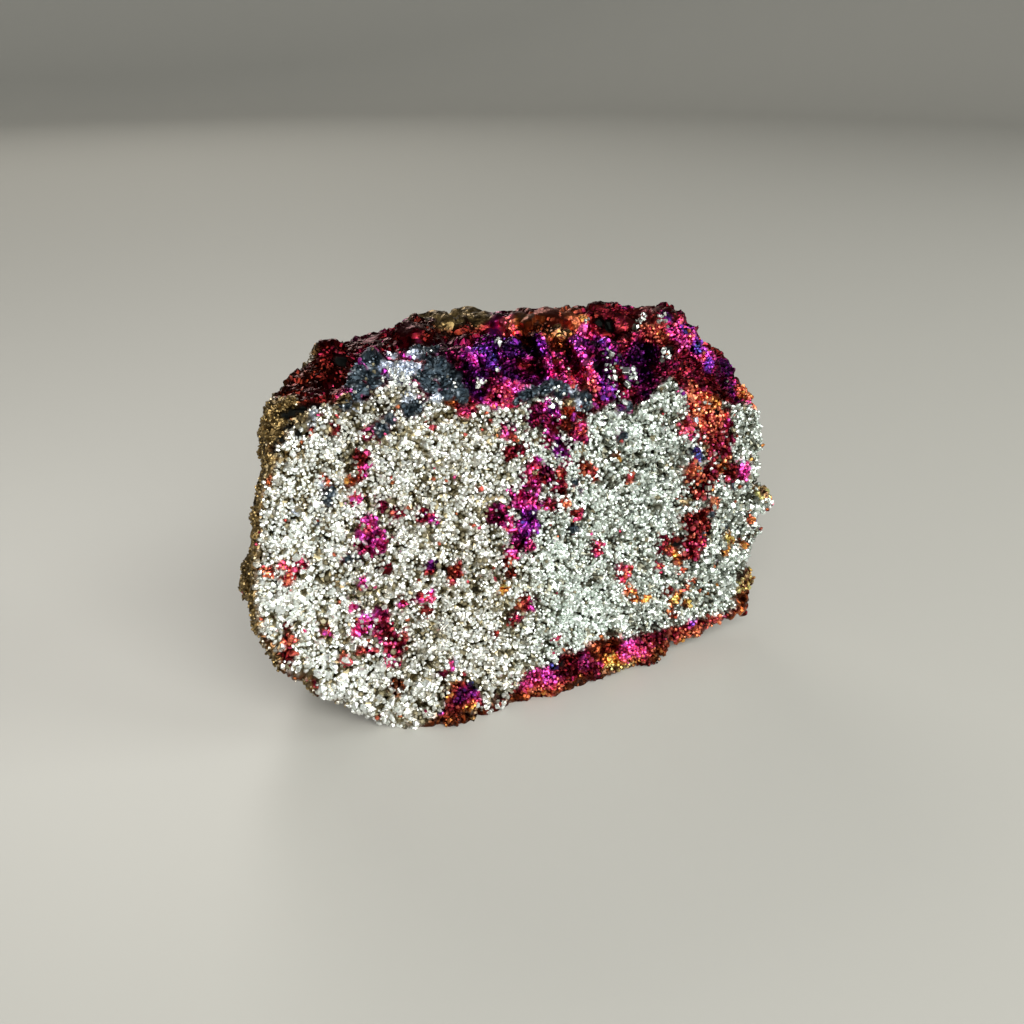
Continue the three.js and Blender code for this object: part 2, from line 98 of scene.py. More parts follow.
# Tarnished spots that break through the crust: x, y, z, reach, film, shade.
# Film runs from 0, pale gold, through orange, copper, rose, magenta and purple to 1, slate blue.
# Shade is how dark and red the spot is, from 0 to 1.
crustStains = [
    # the vein that runs down from the shoulder
    (1.4, -9.4, 26.3, 0.6, 0.68, 0.05), (2.3, -8.8, 25.4, 0.55, 0.76, 0), (0.7, -9.6, 25.5, 1.0, 0.60, 0.9),
    (2.7, -9.0, 24.7, 0.45, 0.60, 0), (3.7, -8.7, 25.5, 0.6, 0.30, 0.1), (4.5, -9.0, 25.3, 0.6, 0.52, 0.5),
    (3.8, -9.0, 24.8, 0.4, 0.76, 0.3), (3.3, -9.2, 24.4, 0.6, 0.40, 0.9), (4.3, -9.5, 23.8, 0.8, 0.58, 0.15),
    (4.9, -9.7, 23.2, 0.5, 0.55, 0.1), (1.7, -8.9, 24.3, 0.7, 0.62, 0.5), (2.0, -9.0, 23.5, 0.6, 0.58, 0.45),
    (1.5, -9.2, 22.9, 0.5, 0.52, 0.2), (2.4, -9.3, 23.1, 0.5, 0.76, 0.25),
    (2.9, -9.6, 22.5, 0.5, 0.62, 0.15), (2.3, -9.4, 22.2, 0.4, 0.72, 0), (2.8, -9.6, 21.9, 0.45, 0.78, 0.1),
    (3.1, -9.8, 21.4, 0.45, 0.55, 0.3), (-0.9, -9.9, 22.9, 0.6, 0.48, 0.85),
    (-2.2, -10.2, 22.8, 0.55, 0.45, 0.5), (-2.2, -9.7, 24.7, 0.55, 0.57, 0),
    (-1.7, -9.8, 24.2, 0.45, 0.40, 0.6), (0.4, -9.2, 21.2, 0.45, 0.56, 0.2),
    (-0.3, -9.4, 20.8, 0.4, 0.62, 0.1), (1.3, -9.4, 20.6, 0.45, 0.70, 0.4),
    (1.4, -9.7, 20.0, 0.5, 0.55, 0.75), (2.6, -9.9, 21.0, 0.5, 0.56, 0), (2.4, -10.2, 20.3, 0.5, 0.40, 0.1),
    (2.4, -10.4, 19.2, 0.65, 0.47, 0.7), (0.1, -9.4, 19.8, 0.8, 0.57, 0.1),
    (-0.7, -10.7, 19.2, 0.65, 0.64, 0), (-0.8, -10.6, 18.5, 0.95, 0.63, 0),
    (-0.1, -11.0, 18.4, 0.55, 0.57, 0.05), (-1.6, -10.3, 18.1, 0.5, 0.66, 0.2),
    (-1.9, -10.4, 19.1, 0.5, 0.62, 0.65), (1.1, -10.9, 18.1, 0.55, 0.55, 0.2),
    (2.7, -10.9, 17.8, 0.4, 0.36, 0.2), (1.6, -10.9, 17.6, 0.45, 0.47, 0.6),
    (-3.4, -10.3, 17.4, 0.8, 0.55, 1), (-2.7, -10.4, 17.4, 0.3, 0.65, 0.1),
    (-2.5, -10.8, 16.7, 0.5, 0.57, 0.05), (-2.1, -10.9, 16.0, 0.5, 0.55, 0),
    (-1.5, -10.7, 16.4, 0.45, 0.76, 0), (-1.0, -10.8, 17.0, 0.6, 0.80, 0.45),
    (-0.7, -11.0, 16.1, 0.7, 0.76, 0.15), (-1.4, -11.0, 15.5, 0.6, 0.77, 0.5),
    (-1.9, -11.1, 14.9, 0.6, 0.62, 0.5), (-1.0, -11.5, 14.6, 0.4, 0.56, 0),
    (-2.5, -11.5, 14.1, 0.5, 0.56, 0.05), (-2.9, -11.7, 13.6, 0.5, 0.42, 0.15),
    # beside the vein
    (4.8, -10.2, 20.4, 0.6, 0.34, 0.5), (5.8, -10.1, 19.8, 0.5, 0.44, 0.05),
    (8.2, -9.7, 21.0, 0.35, 0.18, 0.1), (9.4, -9.7, 18.7, 0.4, 0.42, 0.1),
    (3.9, -11.0, 16.5, 0.55, 0.52, 0.5), (6.2, -11.0, 13.0, 0.5, 0.53, 0.2),
    (-5.7, -9.0, 26.9, 0.7, 0.46, 0.05), (-6.9, -8.9, 27.5, 0.35, 0.30, 0.1),
    (-6.2, -8.8, 27.6, 0.35, 0.14, 0), (-2.4, -9.1, 27.8, 1.1, 0.50, 0.25),
    (-1.7, -9.1, 27.2, 0.5, 0.52, 0.1), (-3.3, -9.2, 27.1, 0.45, 0.55, 0.05),
    # the left side, from the top
    (-18.6, -8.9, 26.4, 0.35, 0.42, 0.5), (-16.8, -9.2, 26.4, 0.5, 0.38, 0.5),
    (-14.1, -9.3, 25.8, 0.5, 0.57, 0.25), (-14.9, -9.9, 24.0, 0.6, 0.46, 0.75),
    (-14.6, -9.9, 23.3, 0.4, 0.60, 0), (-14.8, -9.9, 22.6, 0.35, 0.60, 0),
    (-15.2, -10.0, 22.2, 0.35, 0.36, 0.1), (-15.8, -10.0, 22.0, 0.4, 0.30, 0.2),
    (-22.5, -9.5, 22.9, 0.4, 0.33, 0.3), (-18.0, -10.0, 22.3, 0.4, 0.32, 0.1),
    (-15.5, -10.3, 20.6, 0.5, 0.58, 0), (-13.3, -10.2, 19.8, 0.5, 0.56, 0.6),
    (-12.3, -10.5, 18.9, 0.5, 0.45, 0.8), (-14.6, -10.6, 18.6, 0.5, 0.60, 0.1),
    (-15.3, -11.1, 17.5, 0.6, 0.60, 0.05), (-14.6, -11.0, 17.1, 0.6, 0.60, 0),
    (-15.7, -11.2, 16.6, 0.6, 0.55, 0.3), (-15.1, -11.2, 16.3, 0.6, 0.56, 0.75),
    (-14.0, -11.1, 16.4, 0.5, 0.60, 0.15), (-14.1, -10.7, 17.3, 0.5, 0.60, 0.1),
    (-9.9, -11.1, 18.4, 0.7, 0.50, 0.75), (-9.2, -11.1, 18.2, 0.5, 0.62, 0.2),
    (-13.7, -11.8, 14.6, 0.45, 0.45, 0.8), (-9.8, -12.0, 14.3, 0.45, 0.78, 0.5),
    (-10.0, -12.1, 13.8, 0.4, 0.44, 0.3), (-7.8, -12.1, 13.4, 0.6, 0.38, 0.35),
    (-8.2, -12.3, 12.7, 0.4, 0.42, 0.4), (-12.6, -12.5, 11.4, 0.4, 0.56, 0.2),
    (-11.6, -12.5, 11.5, 0.35, 0.55, 0.4), (-10.9, -12.4, 11.6, 0.4, 0.56, 0.05),
    (-10.0, -12.4, 11.7, 0.4, 0.57, 0.05), (-10.4, -12.7, 10.3, 0.5, 0.50, 0.6),
    (-15.6, -12.2, 10.1, 0.6, 0.57, 0), (-16.4, -12.3, 9.4, 0.55, 0.57, 0.1),
    (-14.4, -12.4, 10.5, 0.65, 0.55, 0.15), (-14.3, -12.4, 9.4, 0.55, 0.55, 0.6),
    (-14.7, -12.4, 8.8, 0.45, 0.57, 0), (-13.6, -12.9, 7.9, 0.8, 0.53, 0.5),
    (-12.8, -12.9, 8.4, 0.45, 0.48, 0), (-13.7, -13.2, 7.1, 0.65, 0.53, 0.3),
    (-14.3, -13.4, 6.5, 0.4, 0.56, 0.1), (-13.5, -13.6, 6.3, 0.4, 0.58, 0.1),
    (-16.4, -12.7, 7.8, 0.35, 0.50, 0.25), (-15.6, -12.7, 7.7, 0.35, 0.52, 0.3),
    (-16.7, -12.2, 11.5, 0.4, 0.56, 0.05), (-15.6, -12.0, 13.7, 0.4, 0.60, 0),
    (-22.2, -11.8, 9.6, 0.45, 0.40, 0.1), (-22.3, -12.0, 8.3, 0.55, 0.46, 0.8),
    (-22.2, -11.5, 10.7, 0.35, 0.48, 0.8), (-23.2, -10.7, 15.5, 0.5, 0.40, 0.1),
    (-22.0, -11.1, 14.3, 0.5, 0.44, 0.35), (-21.5, -11.1, 14.9, 0.4, 0.44, 0.1),
    (-21.9, -10.8, 15.8, 0.35, 0.48, 0.1), (-20.7, -10.8, 15.6, 0.5, 0.52, 0.3),
    (-17.6, -13.1, 7.0, 0.32, 0.50, 0.3), (-18.1, -12.7, 7.5, 0.35, 0.50, 0.1),
    (-19.1, -11.9, 9.8, 0.4, 0.58, 0.6), (-20.4, -12.4, 5.5, 0.4, 0.46, 0.2),
    (-7.6, -12.1, 13.3, 0.5, 0.48, 0.5),
    # above the foot, and the right side
    (-1.6, -12.6, 9.4, 0.7, 0.36, 0.3), (-0.8, -12.7, 9.0, 0.5, 0.60, 0.15),
    (-3.5, -12.6, 11.1, 0.5, 0.14, 0.1), (-2.8, -12.1, 12.5, 0.5, 0.41, 0.74),
    (-2.5, -12.9, 8.0, 0.6, 0.46, 0.4), (-4.5, -13.2, 7.2, 0.35, 0.40, 0.6),
    (8.6, -11.3, 9.9, 0.75, 0.48, 0.05), (9.1, -11.4, 8.1, 0.5, 0.32, 0.15),
    (9.7, -11.4, 7.4, 0.45, 0.20, 0.05), (10.9, -11.1, 6.8, 0.5, 0.20, 0.05),
    (14.3, -10.8, 6.0, 0.5, 0.13, 0), (15.5, -10.3, 6.6, 0.4, 0.44, 0.05),
    (13.8, -10.9, 6.8, 0.35, 0.26, 0.3), (1.5, -12.6, 5.3, 0.35, 0.58, 0.2),
    (6.0, -11.2, 12.7, 0.5, 0.54, 0.2), (-8.9, -13.8, 5.2, 0.4, 0.57, 0.05),
    (-9.6, -13.9, 4.6, 0.5, 0.50, 0.6), (-13.7, -13.9, 4.2, 0.6, 0.16, 0.6),
    (14.1, -9.3, 10.6, 0.55, 0.38, 0.15), (14.5, -9.4, 10.0, 0.45, 0.12, 0),
    (14.7, -9.2, 11.2, 0.5, 0.47, 0.85), (16.3, -9.6, 10.5, 1.0, 0.50, 0.35),
    (17.2, -9.5, 10.9, 0.6, 0.46, 0.1), (16.8, -9.3, 12.6, 1.3, 0.42, 0.55),
    (17.8, -9.2, 13.4, 0.7, 0.36, 0.1), (18.6, -9.3, 14.0, 0.6, 0.40, 0.3), (20.6, -9.2, 10.4, 0.5, 0.10, 0),
    (12.7, -10.3, 9.6, 0.4, 0.40, 0.2), (16.4, -10.3, 7.0, 0.35, 0.40, 0.2),
    (20.1, -9.1, 9.4, 0.5, 0.24, 0.3), (16.4, -7.4, 25.7, 0.7, 0.36, 0.15), (17.3, -7.1, 23.8, 1.2, 0.38, 0),
    (18.7, -7.3, 23.9, 0.7, 0.17, 0), (18.9, -7.3, 23.2, 0.5, 0.45, 1), (15.8, -7.9, 22.2, 0.8, 0.48, 0.2),
    (18.5, -7.2, 21.9, 1.2, 0.42, 0.1), (19.8, -7.4, 22.6, 0.5, 0.40, 0.05),
    (19.9, -7.5, 21.7, 0.6, 0.60, 0.4), (18.0, -7.4, 20.8, 0.8, 0.42, 0.55),
    (16.8, -8.3, 19.6, 0.6, 0.94, 0.1), (18.7, -7.1, 19.1, 0.5, 0.44, 0), (19.5, -7.3, 19.7, 1.2, 0.48, 0.8),
    (20.2, -7.8, 18.5, 0.4, 0.36, 0.05), (16.0, -8.6, 18.2, 0.8, 0.35, 0.15),
    (19.7, -7.9, 17.7, 0.6, 0.26, 0.05), (18.4, -8.0, 17.4, 0.9, 0.44, 0.7),
    (18.9, -8.7, 14.5, 0.45, 0.34, 0.1), (22.6, -8.6, 12.0, 0.45, 0.30, 0.1),
    (20.5, -9.2, 10.8, 0.4, 0.08, 0), (17.4, -9.1, 13.2, 0.5, 0.42, 0.3), (22.3, -8.8, 9.6, 0.4, 0.24, 0.2),
    (15.3, -10.0, 8.4, 0.4, 0.42, 0.2), (20.8, -7.9, 17.0, 0.8, 0.50, 0.8), (22.0, -7.9, 17.1, 0.7, 0.57, 0),
    (16.1, -8.5, 17.5, 0.7, 0.33, 0.2), (17.2, -8.4, 17.0, 0.6, 0.38, 0.4),
    (17.9, -8.4, 16.1, 0.6, 0.42, 0.5), (17.1, -8.4, 15.5, 0.5, 0.40, 0.3),
    (16.2, -8.7, 16.3, 0.5, 0.44, 0.7), (13.2, -9.8, 12.2, 0.5, 0.50, 0.8),
    (12.6, -10.2, 11.0, 0.5, 0.50, 0.8), (13.3, -9.9, 11.3, 0.6, 0.48, 0.9),
    (14.3, -9.2, 11.0, 0.35, 0.05, 0.1), (14.8, -9.6, 9.5, 0.45, 0.36, 0.25),
    (13.3, -10.6, 7.0, 0.45, 0.40, 0.8), (14.6, -10.6, 6.2, 0.45, 0.20, 0.15),
    (15.2, -10.7, 5.2, 0.4, 0.10, 0.1), (13.9, -10.9, 4.5, 0.5, 0.34, 0.35),
    (24.1, -8.1, 14.7, 0.8, -0.10, -0.1), (15.6, -8.7, 14.9, 0.5, 0.30, 0.9),
]

# Colours of the tarnished shoulder, crest, foot and right end, laid out in the same way.
openStains = [
    # the glassy red hollow and the crimson crest
    (-15.4, -2.1, 30.6, 1.5, 0.45, 0.82), (-14.6, -3.5, 29.9, 1.2, 0.47, 0.9),
    (-15.6, -4.0, 28.8, 1.5, 0.42, 0.75), (-17.1, -3.2, 29.2, 1.5, 0.38, 0.78),
    (-18.5, -4.4, 28.9, 1.3, 0.31, 0.7), (-17.2, -4.9, 28.4, 1.1, 0.42, 0.75),
    (-19.2, -7.1, 28.7, 0.8, 0.34, 0.8), (-18.5, -7.8, 29.0, 0.8, 0.40, 0.8),
    (-17.8, -8.0, 29.0, 0.7, 0.42, 0.75), (-17.0, -7.2, 28.8, 0.8, 0.42, 0.8),
    (-16.0, -8.2, 29.2, 0.5, 0.58, 0.1), (-16.0, -6.0, 28.6, 0.7, 0.47, 0.6),
    (-13.5, -0.5, 31.3, 1.6, 0.49, 0.8), (-11.4, -2.6, 31.8, 1.5, 0.48, 0.92),
    (-9.3, -2.8, 31.7, 1.4, 0.48, 0.9), (-8.3, -3.6, 31.4, 0.4, 0.62, 0), (-7.0, -1.8, 31.6, 1.0, 0.40, 0.8),
    (-2.9, -0.2, 31.3, 1.2, 0.42, 0.7), (-4.6, -1.0, 31.2, 0.9, 0.34, 0.6),
    # the violet part of the shoulder
    (-4.6, -6.4, 30.9, 0.75, 0.70, 0), (-4.4, -7.3, 30.1, 0.4, 0.70, 0), (-3.0, -6.3, 30.8, 1.2, 0.84, 0.2),
    (-6.0, -5.5, 31.2, 1.0, 0.64, 0.55), (-5.0, -4.2, 31.3, 1.0, 0.62, 0.5),
    (-3.6, -3.2, 31.2, 0.9, 0.50, 0.6), (-2.5, -4.4, 31.1, 1.0, 0.74, 0.5),
    (-0.3, -3.9, 30.8, 1.0, 0.86, 0.35), (-1.5, -6.4, 30.3, 0.9, 0.74, 0.25),
    (0.4, -4.9, 30.1, 0.9, 0.80, 0.35), (0.8, -5.7, 29.5, 0.5, 0.68, 0), (-0.6, -6.6, 29.1, 1.1, 0.78, 0.7),
    (0.2, -5.9, 29.0, 0.8, 0.50, 0.85), (-4.2, -8.2, 29.2, 1.0, 0.78, 0.6),
    (-3.0, -8.2, 28.9, 0.9, 0.60, 0.75), (1.2, -6.9, 28.5, 0.5, 0.64, 0.05), (0.7, -1.2, 31.2, 0.6, 0.46, 0),
    (-1.7, -8.6, 28.4, 0.8, 0.60, 0), (-0.4, -7.8, 28.1, 0.6, 0.58, 0), (-10.3, -6.0, 30.9, 0.5, 0.46, 0),
    (-9.1, -6.4, 30.9, 0.45, 0.47, 0), (-9.9, -5.4, 31.1, 0.4, 0.66, 0), (-8.9, -7.7, 29.7, 0.5, 0.38, 0),
    (-7.9, -8.7, 28.3, 0.5, 0.56, 0.4),
    # the brown and orange crest
    (2.6, -1.8, 31.7, 1.0, 0.22, 0.7), (2.1, -1.2, 31.7, 0.5, 0.02, 0.45), (6.2, -1.4, 31.8, 1.0, 0.30, 0.3),
    (5.1, -1.8, 31.5, 0.9, 0.34, 0.7), (4.5, -3.8, 31.0, 0.8, 0.03, 0.2), (3.6, -3.9, 30.6, 0.4, 0.30, 0.1),
    (4.0, -4.6, 30.2, 0.6, 0.26, 0.75), (9.1, -0.9, 32.0, 1.5, 0.47, 0.72),
    (1.6, -3.4, 31.0, 0.6, 0.26, 0.6), (7.9, -1.3, 31.5, 0.5, 0.05, 0.2), (3.4, 0.2, 31.9, 1.2, 0.34, 0.6),
    (6.8, 0.6, 31.9, 1.3, 0.28, 0.6),
    # ridges and gaps of the middle
    (1.9, -6.0, 30.9, 0.65, 0.70, 0), (1.7, -6.4, 30.2, 0.7, 0.76, 0.3), (2.6, -6.8, 30.3, 0.5, 0.76, 0.85),
    (1.7, -7.5, 29.5, 1.0, 0.66, 0), (2.2, -8.0, 28.9, 0.8, 0.60, 0), (1.8, -8.2, 28.4, 0.6, 0.68, 0),
    (3.0, -7.4, 28.3, 0.7, 0.54, 0), (3.2, -6.8, 29.8, 0.5, 0.34, 0.1), (4.3, -6.1, 29.5, 0.7, 0.57, 0.1),
    (3.8, -7.3, 29.2, 0.8, 0.52, 0), (4.1, -7.3, 28.6, 0.6, 0.44, 0.05), (4.6, -5.6, 30.2, 0.5, 0.30, 0.85),
    (5.3, -5.0, 30.8, 0.7, 0.66, 0), (5.2, -6.1, 30.1, 0.7, 0.64, 0), (5.4, -7.0, 29.3, 0.8, 0.56, 0.05),
    (5.5, -7.5, 28.9, 0.9, 0.54, 0), (5.7, -7.8, 28.4, 0.7, 0.51, 0), (6.2, -7.1, 29.9, 0.5, 0.70, 1),
    (7.1, -7.0, 29.2, 0.8, 0.80, 0.9), (4.5, -8.6, 27.9, 0.6, 0.46, 0.1), (5.1, -8.7, 27.3, 0.6, 0.47, 0.3),
    (6.0, -8.7, 27.1, 0.7, 0.48, 0.3), (6.8, -8.9, 27.2, 0.8, 0.78, 0.25), (8.1, -1.9, 30.5, 0.7, 0.58, 0),
    (8.5, -2.9, 30.2, 0.9, 0.75, 0.05), (8.5, -4.5, 30.2, 0.8, 0.72, 0), (7.2, -5.2, 30.0, 0.6, 0.74, 0.9),
    (11.7, -1.7, 30.8, 0.9, 0.46, 0.55), (10.5, -4.5, 29.9, 1.0, 0.46, 0.4),
    (9.2, -4.8, 29.9, 0.6, 0.60, 0.5), (11.7, -5.2, 29.1, 1.1, 0.80, 0.55),
    (10.6, -7.0, 27.7, 1.0, 0.82, 0.5), (9.8, -8.3, 25.8, 0.7, 0.52, 0.4),
    (11.2, -8.2, 26.6, 0.8, 0.72, 0.5), (9.0, -7.4, 27.9, 0.6, 0.46, 0.7), (6.2, -9.6, 26.2, 0.7, 0.58, 0.3),
    (7.7, -8.6, 28.0, 0.6, 0.76, 0.3), (6.8, -6.2, 30.2, 0.5, 0.60, 0.2),
    # the red dome and the right end
    (14.0, -2.6, 31.9, 1.4, 0.44, 0.68), (15.3, -3.1, 31.9, 0.8, 0.94, 0.5),
    (16.2, -2.4, 31.6, 0.9, 0.48, 0.75), (13.2, -4.0, 30.9, 0.9, 0.38, 0.4),
    (13.7, -4.6, 30.5, 0.7, 0.35, 0.2), (14.4, -5.3, 29.7, 0.5, 0.37, 0.05),
    (12.6, -4.6, 30.2, 0.8, 0.46, 0.6), (15.0, -4.7, 30.2, 0.4, 0.56, 0), (16.9, -3.2, 31.3, 0.6, 0.56, 0),
    (16.4, -3.8, 31.0, 0.4, 0.44, 0), (17.8, -3.2, 30.6, 0.4, 0.80, 0), (16.7, -4.4, 30.2, 0.45, 0.93, 0.1),
    (16.7, -5.0, 29.7, 0.6, 0.53, 0), (18.2, -4.2, 29.7, 0.6, 0.78, 0.2), (17.4, -5.3, 29.0, 0.6, 0.92, 0.1),
    (18.5, -5.3, 28.5, 0.8, 0.68, 0), (17.8, -5.9, 28.0, 0.45, 0.50, 0), (18.4, -6.3, 27.4, 0.65, 0.79, 0),
    (17.2, -6.4, 27.3, 0.6, 0.50, 1), (16.2, -5.6, 29.2, 0.9, 0.58, 0.1), (15.4, -4.4, 30.5, 0.7, 0.57, 0.1),
    (16.9, -6.0, 28.4, 0.7, 0.55, 0.2), (15.4, -6.4, 28.6, 0.7, 0.52, 0.5),
    (17.4, -4.4, 30.2, 0.6, 0.62, 0.1), (19.2, -5.0, 28.2, 0.6, 0.62, 0.2),
    (19.6, -5.8, 26.9, 0.7, 0.64, 0.35), (15.6, -8.0, 26.9, 0.7, 0.50, 0.7),
    (17.6, -7.0, 26.2, 0.7, 0.50, 0.6), (14.5, -5.9, 29.3, 0.8, 0.50, 0.95),
    (14.4, -8.1, 27.4, 0.7, 0.52, 0.7), (13.0, -7.6, 28.3, 0.9, 0.60, 0.75),
    (15.7, -7.2, 27.4, 0.6, 0.52, 0), (21.0, -5.0, 26.2, 1.1, 0.72, 0.85),
    (19.4, -7.1, 25.5, 1.2, 0.47, 0.85), (21.7, -5.1, 25.2, 0.4, 0.62, 0), (22.8, -5.8, 24.5, 0.8, 0.30, 0),
    (20.0, -7.4, 25.1, 0.5, 0.04, 0.3), (22.2, -6.4, 24.0, 0.4, 0.06, 0.1),
    (22.6, -6.8, 23.4, 0.7, 0.52, 0.35), (23.6, -6.5, 22.8, 0.6, 0.32, 0),
    (24.0, -5.0, 24.0, 1.2, 0.34, 0.3), (20.9, -3.4, 27.6, 1.0, 0.46, 0.6),
    (22.6, -2.6, 26.0, 1.3, 0.58, 0.5), (24.0, -2.6, 23.0, 1.6, 0.40, 0.5),
    # the foot, from the left
    (-7.9, -14.3, 2.5, 1.0, 0.72, 0.75), (-9.2, -14.1, 3.2, 0.8, 0.26, 0.05),
    (-8.3, -14.1, 3.5, 0.6, 0.30, 0.05), (-6.9, -14.1, 3.2, 0.6, 0.94, 0.3),
    (-6.5, -14.3, 1.7, 0.6, 0.60, 0), (-7.7, -14.5, 1.3, 0.9, 0.22, 0.10),
    (-8.9, -14.7, 0.8, 0.9, 0.44, 0.7), (-10.6, -14.4, 1.4, 0.5, 0.94, 0.1),
    (-10.1, -14.6, 0.7, 0.6, 0.44, 0.05), (-11.2, -14.6, 0.6, 0.7, 0.30, 0.8),
    (-3.8, -13.8, 3.4, 0.6, 0.60, 0.4), (-1.4, -13.4, 1.7, 0.9, 0.56, -0.15),
    (-2.2, -13.4, 2.6, 0.7, 0.60, 0.6), (0.3, -13.1, 0.8, 0.5, 0.62, -0.25),
    (0.0, -13.1, 2.2, 0.6, 0.64, 0.1), (1.4, -12.8, 1.2, 0.6, 0.65, -0.25),
    (2.7, -12.6, 1.0, 0.45, 0.60, -0.25), (2.2, -12.7, 2.2, 1.0, 0.50, 0.9),
    (4.7, -12.4, 1.0, 0.9, 0.62, 0.7), (5.6, -12.1, 2.9, 0.8, 0.28, 0.30), (4.2, -12.4, 2.4, 0.8, 0.60, 0.5),
    (1.0, -12.9, 3.1, 0.5, 0.94, 0.1), (3.4, -12.6, 0.3, 0.9, 0.26, 0.6),
    (6.9, -11.9, 1.5, 0.95, 0.12, -0.3), (5.9, -12.1, 1.4, 0.4, 0.60, 0), (5.3, -12.4, 0.7, 0.5, 0.80, 0.3),
    (6.4, -12.0, 3.0, 1.1, 0.27, 0.5), (8.1, -11.7, 1.9, 0.8, 0.58, -0.25),
    (9.4, -11.5, 1.8, 0.9, 0.55, -0.25), (8.7, -11.6, 0.8, 0.6, 0.12, -0.3),
    (11.2, -11.4, 2.0, 0.5, 0.48, 0), (11.8, -11.2, 3.2, 1.1, 0.50, 0.8), (14.0, -11.0, 3.7, 1.0, 0.38, 0.6),
    (12.8, -11.0, 1.4, 1.0, 0.30, 0.55), (15.5, -10.5, 1.5, 0.75, 0.38, 0), (14.9, -10.6, 0.8, 0.4, 0.50, 0),
    (16.7, -10.5, 1.9, 0.6, 0.34, 0.05), (18.4, -10.1, 2.6, 0.6, 0.44, 0.05),
    (17.6, -10.4, 2.9, 0.6, 0.36, 0.6), (20.3, -9.9, 3.9, 0.4, 0.60, 0), (21.3, -9.7, 2.6, 0.9, 0.22, 0.25),
    (22.3, -9.3, 6.2, 1.4, -0.06, 0.3), (23.6, -8.9, 6.4, 0.6, 0.40, 0.35),
    (22.4, -9.3, 4.6, 0.6, 0.08, 0.2), (23.4, -6.0, 5.0, 1.8, 0.36, 0.6), (22.0, -9.6, 3.9, 0.8, 0.14, 0.3),
    (9.6, -1.7, 30.9, 1.1, 0.46, 0.95),
]

# Dull patches: slate, pale blue-grey stone and tan gangue, and hollows with painted shade. x, y, z, reach.
slatePatches = [
    (-14.7, -7.3, 29.7, 1.0), (-13.8, -6.8, 30.3, 1.1), (-12.7, -5.6, 31.0, 1.1), (-14.2, -8.1, 29.3, 0.9),
    (-12.8, -6.7, 30.3, 0.9), (-14.7, -8.6, 28.8, 0.6), (-7.6, -5.2, 31.2, 1.0), (-7.6, -7.2, 30.2, 1.3),
    (-6.9, -7.8, 29.3, 1.2), (-6.4, -8.7, 28.6, 0.9), (-8.4, -6.3, 30.8, 0.8), (-10.3, -8.9, 27.4, 1.1),
    (-15.6, -8.6, 28.2, 0.6), (-0.3, -8.9, 27.5, 0.9), (1.6, -9.0, 28.1, 1.1), (2.9, -8.7, 27.5, 1.0),
    (5.2, -8.6, 26.2, 0.9), (9.4, -8.7, 25.3, 0.6), (-5.6, -8.9, 28.0, 0.7), (3.8, -10.3, 19.3, 0.5),
    (4.4, -10.4, 18.5, 0.4), (3.6, -11.2, 15.1, 0.6), (8.4, -9.5, 22.6, 0.65), (-17.5, -10.2, 21.4, 0.6),
    (-17.9, -10.4, 20.7, 0.55), (-16.8, -11.4, 15.8, 0.5), (-16.0, -11.4, 15.9, 0.4),
    (-19.0, -10.6, 19.0, 0.35), (0.6, -8.9, 27.9, 0.9), (-1.4, -9.0, 27.0, 0.5), (4.1, -8.7, 26.8, 0.7),
    (-12.9, -9.4, 26.0, 0.7), (-12.2, -9.2, 26.8, 0.7), (-6.0, -9.0, 28.0, 0.9), (-7.4, -8.8, 28.2, 0.8),
    (-9.0, -7.6, 29.6, 1.0), (-8.5, -8.2, 28.9, 0.9), (-13.0, -7.6, 29.6, 0.8), (-8.6, -5.0, 31.2, 0.8),
    (17.3, -8.1, 19.1, 0.35), (18.4, -9.1, 13.4, 0.4), (22.1, -8.3, 15.6, 0.35), (20.0, -9.1, 11.8, 0.35),
    (17.4, -9.4, 11.6, 0.35), (23.0, -8.6, 11.3, 0.3), (20.4, -8.3, 15.8, 0.4), (19.2, -9.4, 8.6, 0.35),
]
palePatches = [
    (-10.9, -6.9, 30.4, 1.2), (-11.7, -6.3, 30.5, 0.7), (-10.8, -5.2, 31.2, 0.6), (-9.0, -5.4, 31.2, 0.8),
    (-9.7, -6.9, 30.4, 0.8), (-10.4, -8.6, 28.6, 0.8), (-8.2, -8.8, 27.8, 0.7), (-7.9, -9.0, 26.9, 0.6),
    (-14.5, -8.8, 27.7, 0.8), (-18.8, -8.5, 27.2, 0.7), (-18.3, -8.6, 27.8, 0.7), (-18.8, -8.8, 27.4, 0.5),
    (-18.6, -10.1, 22.0, 0.6), (-20.4, -10.2, 20.1, 0.7), (4.0, -8.4, 27.3, 0.5), (4.4, -8.5, 25.9, 0.5),
    (16.8, -7.4, 22.4, 0.4), (-8.1, -13.7, 5.7, 0.6), (-4.9, -10.1, 22.3, 0.6), (22.4, -7.8, 18.0, 0.5),
    (-12.0, -6.2, 30.5, 0.6),
]
